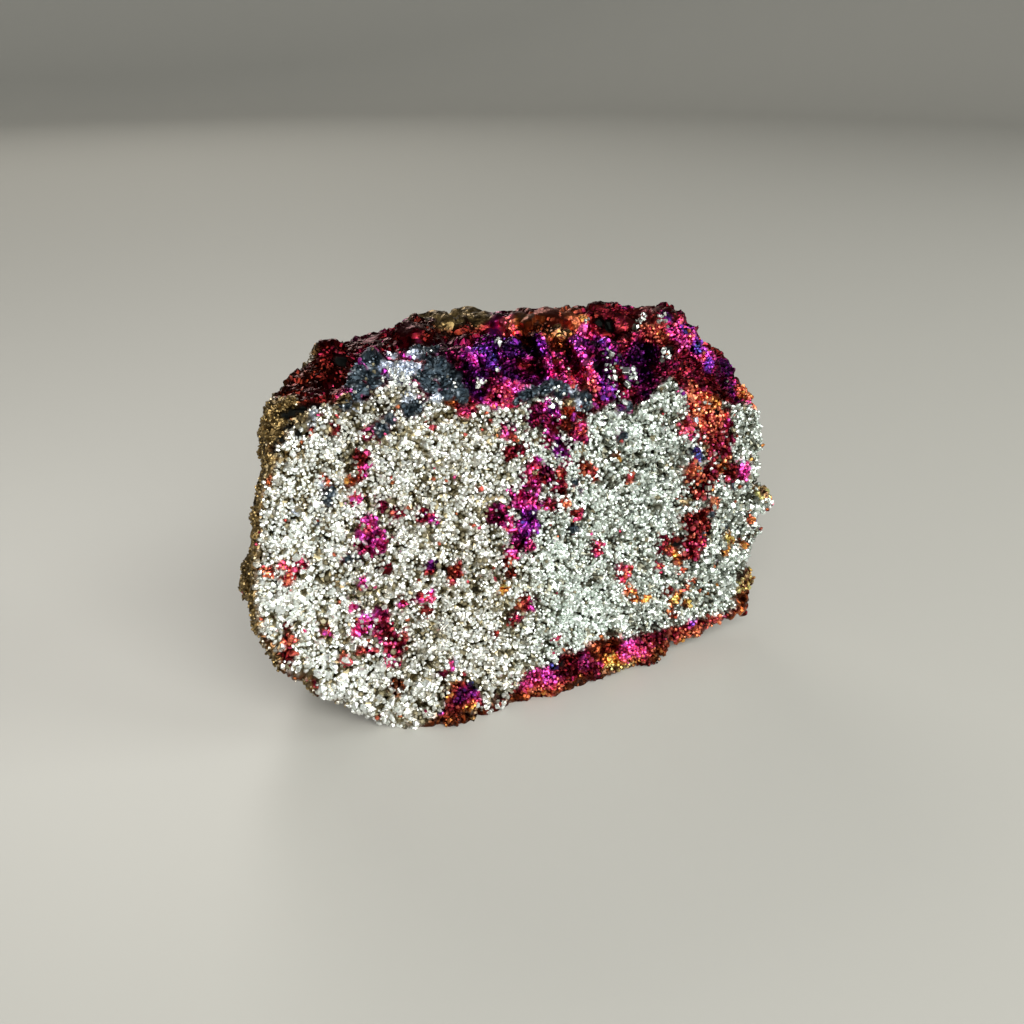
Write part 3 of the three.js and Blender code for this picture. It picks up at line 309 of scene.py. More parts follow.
tanPatches = [
    (-21.5, -9.1, 25.1, 0.5), (-20.5, -9.3, 24.8, 0.6), (-19.7, -9.0, 25.8, 0.6), (-21.1, -9.4, 24.3, 0.5),
    (-19.6, -8.0, 27.3, 0.4), (-20.3, -7.7, 27.1, 0.35), (16.4, -8.8, 14.5, 0.5), (15.6, -8.7, 15.0, 0.5),
    (0.7, -9.2, 23.2, 0.45), (1.8, -9.4, 21.4, 0.6), (4.5, -10.0, 22.0, 0.5), (3.8, -8.5, 26.1, 0.6),
    (0.4, -9.1, 20.3, 0.4), (-15.7, -8.6, 28.9, 0.8), (-16.8, -9.0, 28.1, 0.6), (-17.4, -9.1, 26.5, 0.6),
    (-19.8, -9.4, 25.0, 0.8), (-19.6, -10.2, 21.1, 0.7), (-18.2, -10.7, 18.5, 0.7), (-22.7, -8.8, 23.6, 1.0),
    (-19.3, -8.0, 27.2, 0.9), (-17.7, -11.6, 13.8, 0.8), (-19.3, -11.8, 10.4, 0.7), (-17.7, -12.5, 9.0, 0.6),
    (-15.7, -13.2, 6.6, 0.5), (-10.6, -10.5, 20.3, 0.6), (-7.8, -9.2, 26.2, 0.6), (-6.2, -9.6, 24.6, 0.5),
    (-3.0, -10.4, 21.5, 0.5), (16.3, -8.7, 14.8, 0.5), (-2.4, -12.7, 9.9, 0.4), (-4.2, -14.0, 3.0, 0.8),
    (-12.2, -11.4, 16.6, 0.5), (18.0, -7.3, 19.9, 0.4), (20.0, -7.7, 17.2, 0.4), (12.8, -8.7, 26.2, 0.5),
]
# Hollows whose dark is painted shade: they are coloured near-black as well as sunk in. x, y, z, reach.
shadedPits = [
    (-20.5, -7.5, 27.6, 0.40), (-19.9, -7.6, 27.9, 0.45), (-19.2, -7.7, 28.1, 0.5),
    (-18.5, -8.0, 28.4, 0.45), (-20.4, -8.0, 26.7, 0.35), (-19.8, -8.5, 26.6, 0.35),
    (-21.1, -8.6, 26.1, 0.4), (-21.5, -8.9, 25.7, 0.4), (-22.0, -9.1, 25.2, 0.35), (-17.9, -8.3, 28.6, 0.35),
    (-22.4, -7.2, 25.9, 0.30), (-23.2, -7.4, 24.4, 0.30), (-22.8, -7.2, 23.2, 0.3), (-24.2, -8.4, 22.4, 0.3),
    (-18.5, -10.9, 17.9, 0.4), (9.3, -1.5, 30.9, 0.5), (10.2, -1.9, 30.8, 0.5), (14.8, -9.2, 10.9, 0.45),
    (-3.4, -10.3, 17.4, 0.35), (-1.9, -9.6, 25.3, 0.35), (1.9, -12.8, 2.4, 0.4), (12.1, -11.2, 3.7, 0.4),
    (18.9, -7.3, 23.2, 0.4), (-15.8, -8.5, 28.9, 0.3), (7.1, -7.0, 29.4, 0.5), (14.6, -5.9, 29.4, 0.5),
    (20.3, -6.4, 25.6, 0.6), (-14.8, -2.9, 30.3, 0.7),
]
# White crystal clusters that sit in the tarnish: x, y, z, reach.
whiteClusters = [
    (8.3, -6.1, 29.4, 0.55), (9.3, -6.5, 29.0, 0.6), (9.6, -7.1, 28.5, 0.6), (10.2, -6.9, 27.7, 0.6),
    (7.8, -7.2, 28.4, 0.5), (8.5, -7.0, 28.5, 0.5), (8.0, -7.6, 27.7, 0.5), (10.2, -7.1, 27.1, 0.55),
    (9.2, -8.1, 26.9, 0.65), (8.2, -8.3, 26.8, 0.5), (8.6, -8.4, 26.3, 0.8), (-1.8, -5.8, 31.2, 0.55),
    (-2.4, -7.5, 29.6, 0.6), (-1.8, -7.5, 29.4, 0.5), (12.7, -5.4, 29.6, 0.5), (12.3, -5.5, 29.2, 0.5),
    (13.7, -5.8, 29.4, 0.55), (13.7, -6.5, 28.8, 0.65), (12.9, -2.3, 31.2, 0.65), (12.4, -2.7, 30.5, 0.6),
    (14.7, -3.8, 31.1, 0.8), (17.8, -6.5, 27.0, 0.4), (21.0, -5.3, 25.3, 0.4), (4.2, -7.0, 29.0, 0.35),
    (4.1, -7.9, 28.3, 0.4), (8.0, -1.5, 31.3, 0.5), (-4.3, -8.6, 28.7, 0.6), (-5.2, -8.9, 28.3, 0.6),
    (-14.4, -2.8, 30.2, 0.35), (4.9, -8.7, 25.8, 0.5), (-4.9, -14.1, 2.9, 0.8), (-3.6, -13.9, 2.3, 0.7),
    (-10.8, -6.2, 30.7, 0.5), (-9.6, -7.6, 29.8, 0.45), (-8.6, -7.0, 30.4, 0.4), (-11.6, -7.4, 29.9, 0.5),
    (-11.8, -6.8, 30.2, 0.55), (-11.2, -7.2, 30.0, 0.6), (-12.2, -7.6, 29.7, 0.5), (-10.5, -7.8, 29.6, 0.6),
    (-11.4, -8.2, 29.3, 0.8), (-12.7, -8.2, 29.2, 0.5), (-10.0, -8.4, 28.9, 0.5), (0.8, -8.9, 28.2, 0.4),
    (2.2, -8.8, 27.7, 0.4), (-0.6, -8.9, 27.8, 0.35), (3.4, -8.6, 27.2, 0.35), (-6.9, -7.8, 29.4, 0.35),
    (-6.6, -8.5, 28.8, 0.4), (-12.6, -5.3, 31.1, 0.3), (15.4, -5.6, 29.6, 0.35), (17.2, -5.6, 28.8, 0.3),
    (21.6, -5.4, 25.6, 0.35), (-5.4, 1.0, 32.6, 0.5), (19.4, -9.7, 6.4, 0.6), (16.4, -10.2, 7.4, 0.45),
    (9.4, -11.4, 5.4, 0.45), (18.1, -7.6, 19.6, 0.35), (17.4, -8.0, 18.2, 0.35), (15.6, -9.0, 12.4, 0.4),
    (18.3, -8.8, 14.6, 0.3), (17.6, -7.6, 21.0, 0.35), (-10.0, -14.5, 2.9, 0.5), (-8.2, -14.6, 0.2, 0.35),
    (-4.8, -14.0, 0.6, 0.7), (-7.0, -14.6, 0.4, 0.4), (-6.6, -14.4, 0.9, 0.4), (-5.8, -14.2, 0.6, 0.5),
    (-6.0, -14.2, 1.4, 0.4),
]
# Smooth glassy ore: x, y, z, reach.
glassyPatches = [
    (-11.6, -1.6, 31.6, 1.4), (-8.6, -2.4, 31.8, 1.6), (2.5, -1.0, 31.8, 1.8), (5.0, -1.2, 31.8, 2.0),
    (7.4, -1.2, 31.8, 2.0), (9.8, -1.8, 31.0, 1.8), (11.4, -1.8, 31.2, 1.2), (14.4, -2.2, 31.9, 2.3),
    (21.3, -9.7, 2.6, 1.1), (-0.6, -0.8, 31.5, 1.4), (16.8, -8.3, 19.6, 0.6), (-4.6, -6.5, 30.8, 0.6),
    (5.5, -7.4, 29.0, 0.6),
]
# Where the left end's brassy grain comes round to the front.
brassPatches = [
    (-21.6, -7.0, 26.6, 2.2), (-23.0, -8.2, 24.2, 1.8), (-23.9, -8.6, 21.6, 1.4), (-20.6, -6.6, 28.0, 1.5),
    (-24.9, -9.2, 18.4, 1.0), (-25.0, -9.2, 14.8, 0.9), (-4.6, 1.0, 32.3, 2.0), (-1.8, 1.4, 32.4, 1.8),
    (-25.2, -10.0, 12.0, 1.1), (-24.6, -10.6, 8.8, 1.2), (-22.6, -12.0, 5.4, 0.8), (-3.6, 2.6, 32.2, 2.4),
    (-1.2, 4.0, 31.6, 2.6), (-7.6, 1.4, 32.2, 1.8),
]
# Granular tarnish, made of beads like the crust's: x, y, z, reach.
beadPatches = [
    (17.4, -7.1, 23.8, 1.6), (18.4, -7.3, 21.8, 1.6), (19.0, -7.4, 19.4, 1.8), (16.2, -7.6, 25.6, 1.0),
    (22.8, -6.0, 24.2, 1.4), (16.6, -4.6, 29.9, 1.6), (18.4, -5.6, 28.0, 1.4), (-1.4, -13.4, 1.8, 1.4),
    (1.0, -12.9, 1.6, 1.6), (6.8, -11.9, 1.6, 1.0), (8.8, -11.6, 1.6, 1.4), (12.0, -11.2, 2.6, 1.8),
    (15.6, -10.6, 1.8, 1.8), (18.6, -10.0, 3.0, 1.4), (22.4, -9.3, 5.8, 1.4), (-8.4, -14.2, 2.8, 1.6),
    (-1.8, -8.6, 28.3, 1.2), (6.4, -8.8, 27.0, 1.6), (-2.6, -9.1, 27.6, 1.2), (13.4, -4.4, 30.4, 1.4),
    (4.6, -12.4, 1.4, 1.4), (10.6, -11.4, 1.0, 1.4), (-9.8, -14.5, 0.8, 1.0),
]
# Ridges that stand up from the shoulder, and gaps cut into it: both ends, reach, and rise or fall.
ridges = [
    ((1.9, -6.0, 30.9), (2.2, -8.1, 28.8), 0.75, 0.50), ((3.6, -6.9, 29.7), (4.1, -7.4, 28.5), 0.55, 0.35),
    ((5.3, -5.0, 30.8), (5.2, -6.2, 30.0), 0.55, 0.35), ((5.4, -7.0, 29.4), (5.7, -7.9, 28.3), 0.75, 0.50),
    ((8.1, -2.2, 30.5), (8.6, -4.5, 30.2), 0.70, 0.40), ((-4.6, -6.2, 31.0), (-4.4, -7.4, 30.1), 0.70, 0.45),
    ((-3.2, -5.6, 31.0), (-2.6, -7.0, 30.3), 0.80, 0.30),
    ((-1.9, -8.7, 28.4), (-0.2, -7.9, 28.1), 0.50, 0.30),
    ((-14.8, -6.6, 29.8), (-12.2, -4.5, 31.5), 0.45, 0.40),
    ((18.5, -5.2, 28.6), (18.4, -6.4, 27.3), 0.60, 0.30),
    ((10.4, -3.6, 30.2), (10.7, -5.0, 29.7), 0.60, 0.30), ((0.9, -1.0, 31.3), (0.4, -3.2, 31.0), 0.50, 0.30),
    ((1.2, -2.5, 31.2), (1.2, -5.3, 30.6), 0.40, -0.60), ((1.2, -5.3, 30.6), (1.5, -7.2, 28.6), 0.40, -0.60),
    ((2.9, -6.0, 30.3), (3.1, -7.7, 28.8), 0.28, -0.50), ((4.6, -4.4, 30.5), (4.9, -7.4, 28.8), 0.32, -0.50),
    ((6.3, -5.6, 30.2), (6.9, -7.6, 28.6), 0.50, -0.55),
    ((-3.9, -6.2, 31.1), (-3.7, -7.5, 30.1), 0.28, -0.50),
    ((-5.4, -2.8, 31.4), (-5.6, -4.8, 31.2), 0.40, -0.45),
    ((12.2, -5.0, 29.8), (11.0, -7.6, 27.4), 0.50, -0.45),
    ((19.6, -6.0, 26.6), (20.6, -6.6, 25.0), 0.60, -0.50),
    ((2.6, -12.6, 2.6), (3.8, -12.5, 1.8), 0.50, -0.50),
    ((10.4, -11.4, 2.6), (12.6, -11.2, 3.4), 0.45, -0.45),
    ((6.6, -12.0, 2.6), (7.4, -11.8, 2.6), 0.40, -0.40),
]
# Where the lump is fuller than its plain solid: x, y, z, reach, and how far out.
fullerParts = [
    (-24.6, -9.0, 9.0, 4.5, 0.7), (-22.0, -10.5, 5.0, 4.0, 1.25), (-18.5, -12.0, 2.5, 4.0, 0.75),
    (-24.2, -7.4, 23.6, 3.0, 0.6), (1.0, -13.0, 0.5, 5.0, 0.7), (12.0, -11.0, 1.4, 4.0, 0.5),
    (18.0, -10.0, 1.6, 4.0, 0.6), (21.0, -9.4, 3.4, 2.0, 0.6), (-7.0, 1.6, 31.8, 2.2, 0.5),
    (-8.4, -14.5, 0.6, 2.0, 0.8), (-4.8, 2.2, 32.0, 3.0, 1.0), (-1.2, 3.4, 32.0, 3.0, 0.5),
    (-16.4, -2.4, 30.0, 2.2, 0.7), (-11.2, -1.5, 31.5, 2.0, -0.7), (24.4, -7.0, 12.0, 4.0, 0.6),
    (24.4, -6.0, 21.0, 3.5, 0.4), (9.2, -11.6, 0.6, 3.2, 0.55), (3.5, -0.5, 31.8, 3.5, 0.5),
    (19.6, -3.2, 29.4, 2.2, -0.7), (-23.2, -6.0, 26.2, 2.4, 0.7), (-16.0, -13.4, 1.0, 3.0, 0.3),
]


def reachOf(points, spots, firmness=1.0):
    # how strongly each point lies in each spot, 1 at its middle
    spots = np.array(spots)
    apart = (points ** 2).sum(1)[:, None] + (spots[:, :3] ** 2).sum(1) - 2 * points @ spots[:, :3].T
    return np.exp(-np.maximum(apart, 0) * firmness / spots[:, 3] ** 2)


def strongest(points, spots, firmness=1.0):
    return np.concatenate([reachOf(part, spots, firmness).max(1) for part in np.array_split(points, 16)])


def stainAt(points, stains, stray, darkness):
    # film and shade of the stain that each point lies in, or the stray ones where there is none
    stains = np.array(stains)
    film, shade = [], []
    for part in np.array_split(np.arange(len(points)), 16):
        pull = reachOf(points[part], stains, 3.0)
        weight = pull.sum(1) + 2e-4
        film.append((pull @ stains[:, 4] + 2e-4 * stray[part]) / weight)
        shade.append((pull @ stains[:, 5] + 2e-4 * darkness[part]) / weight)
    return np.concatenate(film), np.concatenate(shade)


# How firm each kind of patch is, how ragged, and between what strengths its edge lies.
patchEdges = {
    "stain": (0.42, 0.16, 0.38, 0.60),
    "slate": (1.0, 0.12, 0.32, 0.58),
    "brass": (0.9, 0, 0.3, 0.55),
    "pale": (1.0, 0, 0.3, 0.6),
    "tan": (1.0, 0, 0.42, 0.62),
    "glassy": (1.0, 0, 0.3, 0.6),
    "pitShade": (0.8, 0, 0.35, 0.7),
    "white": (0.9, 0, 0.3, 0.6),
    "bead": (1.0, 0, 0.3, 0.6),
}
# The tarnish between the spots. A wander is an amount, a size and a seed, and a pair is where
# something begins and where it is whole.
tarnish = {
    "areaEdge": (1.3, 0.45, 0.0),  # size, amount and seed of the wander at the edges of large areas
    "spotEdge": (0.8, 0.16, 5.0),  # the same for small spots
    "ragged": (0.5, 31.0),
    "back": (1.0, 6.0),
    "filmWander": (0.45, 5.5, 3.1),
    "fineWander": (0.25, 1.9, 8.4),
    "frontFilms": ([0, 0.3, 0.5, 0.7, 1], [0.48, 0.54, 0.62, 0.70, 0.84]),
    "backFilms": ([0, 0.2, 0.4, 0.6, 0.8, 1], [0.12, 0.36, 0.58, 0.70, 0.84, 0.96]),
    "darkness": 0.60,
    "darkWander": (0.35, 2.4, 14.0),
    "rightLighter": 0.35,
    "backPaintedLight": 0.4,
    "leftEnd": (17.5, 19.5),
    "leftFilm": 0.20,
    "leftDarkness": 0.55,
    "lowShade": 0.12,  # how much darker it is low down, along the foot, on the crest and at the top right
    "footShade": 0.34,
    "crestShade": 0.12,
    "rightShade": 0.07,
    "crustLighter": 0.14,
    "footPaler": 0.26,
}
brass = {
    "leftWander": (0.25, 2.2, 44.0),
    "leftFacing": (0.45, 0.75),
    "wrapWander": (3.0, 3.6, 47.0),  # how unevenly it comes round the left end
    "wrapReach": (18.6, 21.4),
    "backSize": (6.5, 21.0),
    "backEdge": (-0.15, 0.35),
    "gaps": 0.9,  # how far the tarnish breaks through it
    "gapSize": (3.4, 71.0),
    "gapEdge": (0.22, 0.42),
}


def wander(points, amount, size, seed):
    return amount * cloud(points, size, seed)


def patched(points, spots, kind, ragged):
    firmness, raggedness, low, high = patchEdges[kind]
    return eased(strongest(points, spots, firmness) + raggedness * ragged, low, high)


def facts(points, normals):
    # what the ore is at each point: shares of crust, slate, pale stone, tan and painted pit shade, film and
    # shade
    loose = warped(points, *tarnish["areaEdge"])
    near = warped(points, *tarnish["spotEdge"])
    ragged = cloud(points, *tarnish["ragged"])
    facing = normals @ outOfFace
    x, y, z = points.T
    top = np.interp(loose[:, 0], *np.array(crust["top"]).T)
    foot = np.interp(loose[:, 0], *np.array(crust["foot"]).T)
    wrap = crust["rightWrap"] * eased(x, 18, 22) * eased(z, 6, 10)
    wrap += crust["leftWrap"] * eased(-x, 8, 12) * eased(7 - z, 0, 4)
    inside = eased(facing + wrap, *crust["facing"]) * eased(top - loose[:, 2], *crust["topFade"])
    inside *= eased(loose[:, 2] - foot, *crust["footFade"]) * eased(-y, *crust["backFade"])
    spotted = patched(near, crustStains, "stain", ragged)
    brassSpots = patched(loose, brassPatches, "brass", ragged)
    slate = patched(near, slatePatches, "slate", ragged)
    share = inside * (1 - spotted) * (1 - brassSpots) * (1 - slate)
    behind = eased(y, *tarnish["back"])
    wandering = 0.5 + wander(points, *tarnish["filmWander"]) + wander(points, *tarnish["fineWander"])
    frontFilm = np.interp(wandering, *tarnish["frontFilms"])
    backFilm = np.interp(wandering, *tarnish["backFilms"])
    darkness = tarnish["darkness"] + wander(points, *tarnish["darkWander"])
    darkness = np.clip(darkness - tarnish["rightLighter"] * eased(x, 11, 16), 0, 1)
    # painted light: the tarnish at the back is made lighter, as little lamp light reaches it
    darkness *= 1 - tarnish["backPaintedLight"] * behind
    atLeft = eased(-x, *tarnish["leftEnd"])
    frontFilm = frontFilm + (tarnish["leftFilm"] - frontFilm) * atLeft
    darkness = darkness + (tarnish["leftDarkness"] - darkness) * atLeft * (1 - behind)
    strayFilm = frontFilm * (1 - behind) + backFilm * behind
    film, shade = stainAt(near, crustStains + openStains, strayFilm, darkness)
    footEdge = eased(1.7 - z, 0, 1.1) * (1 - behind)
    low = tarnish["lowShade"] * eased(6 - z, 0, 2) + tarnish["footShade"] * footEdge
    low = low + tarnish["crestShade"] * eased(z, 30, 31.5)
    low = low + tarnish["rightShade"] * eased(x, 13, 16) * eased(z, 22, 25)
    shade = shade + (low - tarnish["crustLighter"] * inside) * (1 - behind)
    film = film - tarnish["footPaler"] * footEdge * eased(0.9 - film, 0, 0.2)
    leftEnd = eased(wander(points, *brass["leftWander"]) - normals[:, 0], *brass["leftFacing"])
    leftEnd = leftEnd * eased(-x, 14, 18)
    wrapped = eased(wander(points, *brass["wrapWander"]) - x, *brass["wrapReach"]) * eased(y, -3, 0)
    backBrass = np.maximum(behind * eased(cloud(points, *brass["backSize"]), *brass["backEdge"]), wrapped)
    brassy = np.maximum(leftEnd * (1 - behind), backBrass)
    gaps = brass["gaps"] * eased(cloud(points, *brass["gapSize"]), *brass["gapEdge"])
    brassy *= 1 - gaps * eased(y, -3, 0)
    brassy = np.maximum(brassy * (1 - inside), brassSpots)
    return {
        "crust": share,
        "inside": inside,
        "slate": slate,
        "pale": patched(near, palePatches, "pale", ragged),
        "tan": patched(near, tanPatches, "tan", ragged),
        "brass": brassy,
        "glassy": patched(loose, glassyPatches, "glassy", ragged) * (1 - share),
        "pitShade": patched(near, shadedPits, "pitShade", ragged),
        "white": patched(near, whiteClusters, "white", ragged),
        "bead": patched(loose, beadPatches, "bead", ragged),
        "film": film,
        "shade": shade,
        "under": eased(-normals[:, 2], 0.6, 0.85),
        # the right side, which takes the painted cool tint of the light there
        "cool": eased(x, -5, 2),
        "behind": behind,
    }


body = {
    "grid": 0.38,  # size of the even grid that the surface is cut into, halved in the tarnish
    # chips of the tarnish: width, tilt, step in or out, depth of the groove round each, and how round each is
    "chips": [(2.6, 0.24, 0.26, 0.12, 0.05), (1.15, 0.34, 0.14, 0.16, 0.30), (0.62, 0.30, 0.03, 0.05, 0.15)],
    "clumps": (1.05, 0.10, 0.12, 0.20, 0.50),  # the same for the crust's clumps of grains
    "chipCount": 6500,  # how many chips of one millimetre the lump would hold
    "grooveWidth": 0.22,  # as a share of a chip's width
    "crustDepth": 0.36,  # how far the ground under the crust lies in
    "tarnishDepth": 0.10,
    "easing": 5,  # passes that round off the plain solid first
    "underEasing": 0.6,  # how much less the underside is rounded
    "broadPasses": 24,
    "nearPasses": 4,
    "footHeight": 0.05,  # what lies lower is the flat break
    "smoothCalm": 0.92,  # how much calmer the shaded pits and glassy parts, the brass, the slate and the top are
    "brassCalm": 0.45,
    "slateCalm": 0.6,
    "topCalm": 0.40,
    "crustChips": 0.2,  # how much the chips show under the crust
    "chipFilm": 0.055,
    "chipShade": 0.16,
    "grooveShade": 0.34,
    "gapShade": 1.0,
    "ridgeShade": -0.45,
    "roughness": 0.04,
    "roughSize": (0.9, 2.0),
    "glassWave": 0.14,
    "glassSize": (1.8, 9.0),
    "pitDepth": 0.55,
    "furthest": (-1.5, 0.4),
    "jitter": 0.005,
}


def evenCopy(node):
    # the node's own shape, closed and cut into an even grid of small triangles
    shape = bmesh.new()
    shape.from_mesh(node.data)
    bmesh.ops.remove_doubles(shape, verts=shape.verts, dist=1e-6)
    mesh = bpy.data.meshes.new("oreGrid")
    shape.to_mesh(mesh)
    shape.free()
    copy = bpy.data.objects.new("oreGrid", mesh)
    bpy.context.scene.collection.objects.link(copy)
    grid = copy.modifiers.new("evenGrid", "REMESH")
    grid.mode = "VOXEL"
    grid.voxel_size = body["grid"] * mm
    even = bpy.data.meshes.new_from_object(copy.evaluated_get(bpy.context.evaluated_depsgraph_get()))
    bpy.data.objects.remove(copy)
    shape = bmesh.new()
    shape.from_mesh(even)
    bmesh.ops.triangulate(shape, faces=shape.faces, quad_method="SHORT_EDGE")
    shape.to_mesh(even)
    shape.free()
    return even


def refined(mesh, wanted):
    # halves the grid where it is wanted
    shape = bmesh.new()
    shape.from_mesh(mesh)
    shape.faces.ensure_lookup_table()
    edges = {edge for i in np.flatnonzero(wanted) for edge in shape.faces[i].edges}
    bmesh.ops.subdivide_edges(shape, edges=list(edges), cuts=1, use_grid_fill=True)
    bmesh.ops.triangulate(shape, faces=shape.faces, quad_method="SHORT_EDGE")
    shape.to_mesh(mesh)
    shape.free()


def pointsOf(mesh):
    flat = np.empty(len(mesh.vertices) * 3, np.float32)
    mesh.vertices.foreach_get("co", flat)
    return flat.reshape(-1, 3).astype(float) / mm


def trianglesOf(mesh):
    flat = np.empty(len(mesh.polygons) * 3, np.int32)
    mesh.loops.foreach_get("vertex_index", flat)
    return flat.reshape(-1, 3)


def setPoints(mesh, points):
    mesh.vertices.foreach_set("co", (points * mm).astype(np.float32).ravel())
    mesh.update()


def normalsOf(points, triangles, passes):
    # vertex normals, and with more passes those of the broad shape, without its roughness
    a, b, c = (points[triangles[:, k]] for k in range(3))
    across = np.cross(b - a, c - a)
    normals = np.zeros_like(points)
    for k in range(3):
        for axis in range(3):
            normals[:, axis] += np.bincount(triangles[:, k], across[:, axis], len(points))
    normals /= np.linalg.norm(normals, axis=1, keepdims=True) + 1e-12
    for _ in range(passes):
        normals = meanOfNeighbours(normals, triangles)
        normals /= np.linalg.norm(normals, axis=1, keepdims=True) + 1e-12
    return normals


def meanOfNeighbours(values, triangles):
    count = np.bincount(triangles.ravel(), minlength=len(values))
    sums = np.zeros_like(values)
    middle = values[triangles].sum(1)
    for k in range(3):
        for axis in range(values.shape[1]):
            sums[:, axis] += np.bincount(triangles[:, k], middle[:, axis], len(values))
    return sums / (3 * np.maximum(count, 1))[:, None]


def chipped(points, width, tilt, step, groove, roundness):
    # rise of the chips, a number for each, and how near each point is to a chip's border
    count = int(body["chipCount"] / width ** 2)
    centres = points[chance.choice(len(points), count, replace=False)]
    mine, apart, toNext = nearestTwo(points, centres)
    lean = chance.normal(size=(count, 3))
    lean *= (tilt * chance.uniform(0.3, 1, count) / np.linalg.norm(lean, axis=1))[:, None]
    border = np.exp(-(toNext / (body["grooveWidth"] * width)) ** 2)
    rise = chance.uniform(-step, step, count)[mine] + ((points - centres[mine]) * lean[mine]).sum(1)
    rise -= groove * border + roundness * apart ** 2 / width
    return rise, chance.uniform(-1, 1, count)[mine], border


def alongRidge(points, start, end, reach):
    start, along = np.array(start), np.array(end) - np.array(start)
    share = np.clip((points - start) @ along / (along @ along), 0, 1)
    apart = np.linalg.norm(points - start - share[:, None] * along, axis=1)
    return np.exp(-(apart / reach) ** 2)


def colourLayer(mesh, name, values, domain="POINT"):
    layer = mesh.attributes.new(name, "FLOAT", domain)
    layer.data.foreach_set("value", values.astype(np.float32))


def shapeBody(node):
    mesh = evenCopy(node)
    points, triangles = pointsOf(mesh), trianglesOf(mesh)
    broad = normalsOf(points, triangles, body["broadPasses"])
    found = facts(points, broad)
    softer = points
    for _ in range(body["easing"]):
        softer = meanOfNeighbours(softer, triangles)
    low = points[:, 2] < body["footHeight"]
    softer[low] = points[low]
    points = points + (softer - points) * (1 - body["underEasing"] * found["under"])[:, None]
    setPoints(mesh, points)
    showing = (1 - found["crust"]) * (1 - found["under"]) * (1 - found["behind"])
    showing *= eased(0.9 - np.abs(broad[:, 0]), 0, 0.2) * eased(2.0 - points[:, 1], 0, 1)
    refined(mesh, showing[triangles].mean(1) > 0.5)
    points, triangles = pointsOf(mesh), trianglesOf(mesh)
    broad = normalsOf(points, triangles, body["broadPasses"])
    near = normalsOf(points, triangles, body["nearPasses"])
    found = facts(points, broad)
    bare = 1 - found["crust"]
    calm = 1 - body["smoothCalm"] * np.maximum(found["pitShade"], found["glassy"])
    calm *= 1 - body["brassCalm"] * found["brass"] * (1 - found["behind"])
    calm *= 1 - body["slateCalm"] * found["slate"] * (1 - found["inside"])
    calm *= 1 - body["topCalm"] * eased(broad[:, 2], 0.72, 0.92)
    rise = -body["tarnishDepth"] - (body["crustDepth"] - body["tarnishDepth"]) * found["crust"]
    for chips in body["chips"]:
        chip, number, border = chipped(points, *chips)
        share = (bare + body["crustChips"] * found["crust"]) * (calm if chips[0] < 2 else 1)
        rise = rise + share * chip
        found["film"] = found["film"] + body["chipFilm"] * number * (0.4 + 0.6 * calm)
        # the cosine part is a random tone for each chip; the border part is painted shade in the groove round
        # each chip
        darker = body["chipShade"] * np.cos(9 * number) + body["grooveShade"] * border
        found["shade"] = found["shade"] + darker * calm
    chip, found["clumpTone"], found["clumpEdge"] = chipped(points, *body["clumps"])
    rise += found["crust"] * chip
    for start, end, reach, amount in ridges:
        bulge = alongRidge(points, start, end, reach)
        rise += amount * bulge
        # painted shade in the gaps cut into the shoulder, and painted light on the ridges that stand up from
        # it
        found["shade"] = found["shade"] + bulge * (body["gapShade"] if amount < 0 else body["ridgeShade"])
    rough = bare * calm * body["roughness"] * cloud(points, *body["roughSize"])
    rise += rough + body["glassWave"] * found["glassy"] * cloud(points, *body["glassSize"])
    rise -= body["pitDepth"] * found["pitShade"]
    swell = reachOf(points, [part[:4] for part in fullerParts]) @ np.array([part[4] for part in fullerParts])
    moved = points + near * np.clip(rise, *body["furthest"])[:, None] + broad * swell[:, None]
    moved += chance.normal(0, body["jitter"], points.shape)
    moved[:, 2] = np.maximum(moved[:, 2], 0.02)
    moved[points[:, 2] < body["footHeight"], 2] = 0.0
    setPoints(mesh, moved)
    found["film"] = np.clip(found["film"], 0, 1)
    found["shade"] = np.clip(found["shade"], 0, 1)
    for name in ("crust", "slate", "pale", "tan", "brass", "pitShade", "film", "shade", "under", "cool",
                 "clumpEdge", "glassy"):
        colourLayer(mesh, name, found[name])
    colourLayer(mesh, "fleck", chance.uniform(0, 1, len(triangles)), "FACE")
    return mesh, moved, triangles, broad, found


def chartMap(mesh, points, triangles, normals):
    # six flat charts side by side, one for each way that the surface faces
    facing = normals[triangles].mean(1)
    way = np.abs(facing).argmax(1)
    side = (facing[np.arange(len(way)), way] > 0).astype(int)
    low, size = points.min(0), np.ptp(points, axis=0).max() * 1.02
    across = np.array([1, 0, 0])[way]
    up = np.array([2, 2, 1])[way]
    corners = (points[triangles] - low) / size
    u = np.take_along_axis(corners, across[:, None, None], 2)[..., 0]
    v = np.take_along_axis(corners, up[:, None, None], 2)[..., 0]
    u = (u * 0.96 + 0.02 + way[:, None]) / 3
    v = (v * 0.96 + 0.02 + side[:, None]) / 2
    layer = mesh.uv_layers.new(name="OFBake")
    layer.data.foreach_set("uv", np.stack([u, v], 2).astype(np.float32).ravel())


def pieceOf(mesh, name, material):
    piece = bpy.data.objects.new(name, mesh)
    bpy.context.scene.collection.objects.link(piece)
    mesh.materials.append(material)
    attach(piece, "root")
    return piece


grainKinds = {
    "unevenness": (0.12, 0.18, 0.22, 0.26, 0.3, 0.3),  # of each rounded kind
    "cornerShift": 0.25,  # how far its corners stray, as a share of that
    "corners": (9, 10, 11, 12, 12),  # of each sharp kind
    "cornerReach": (0.82, 1.15),
    "blockSize": 1.5,
    "blockWear": 0.16,  # how far its edges are worn off
}


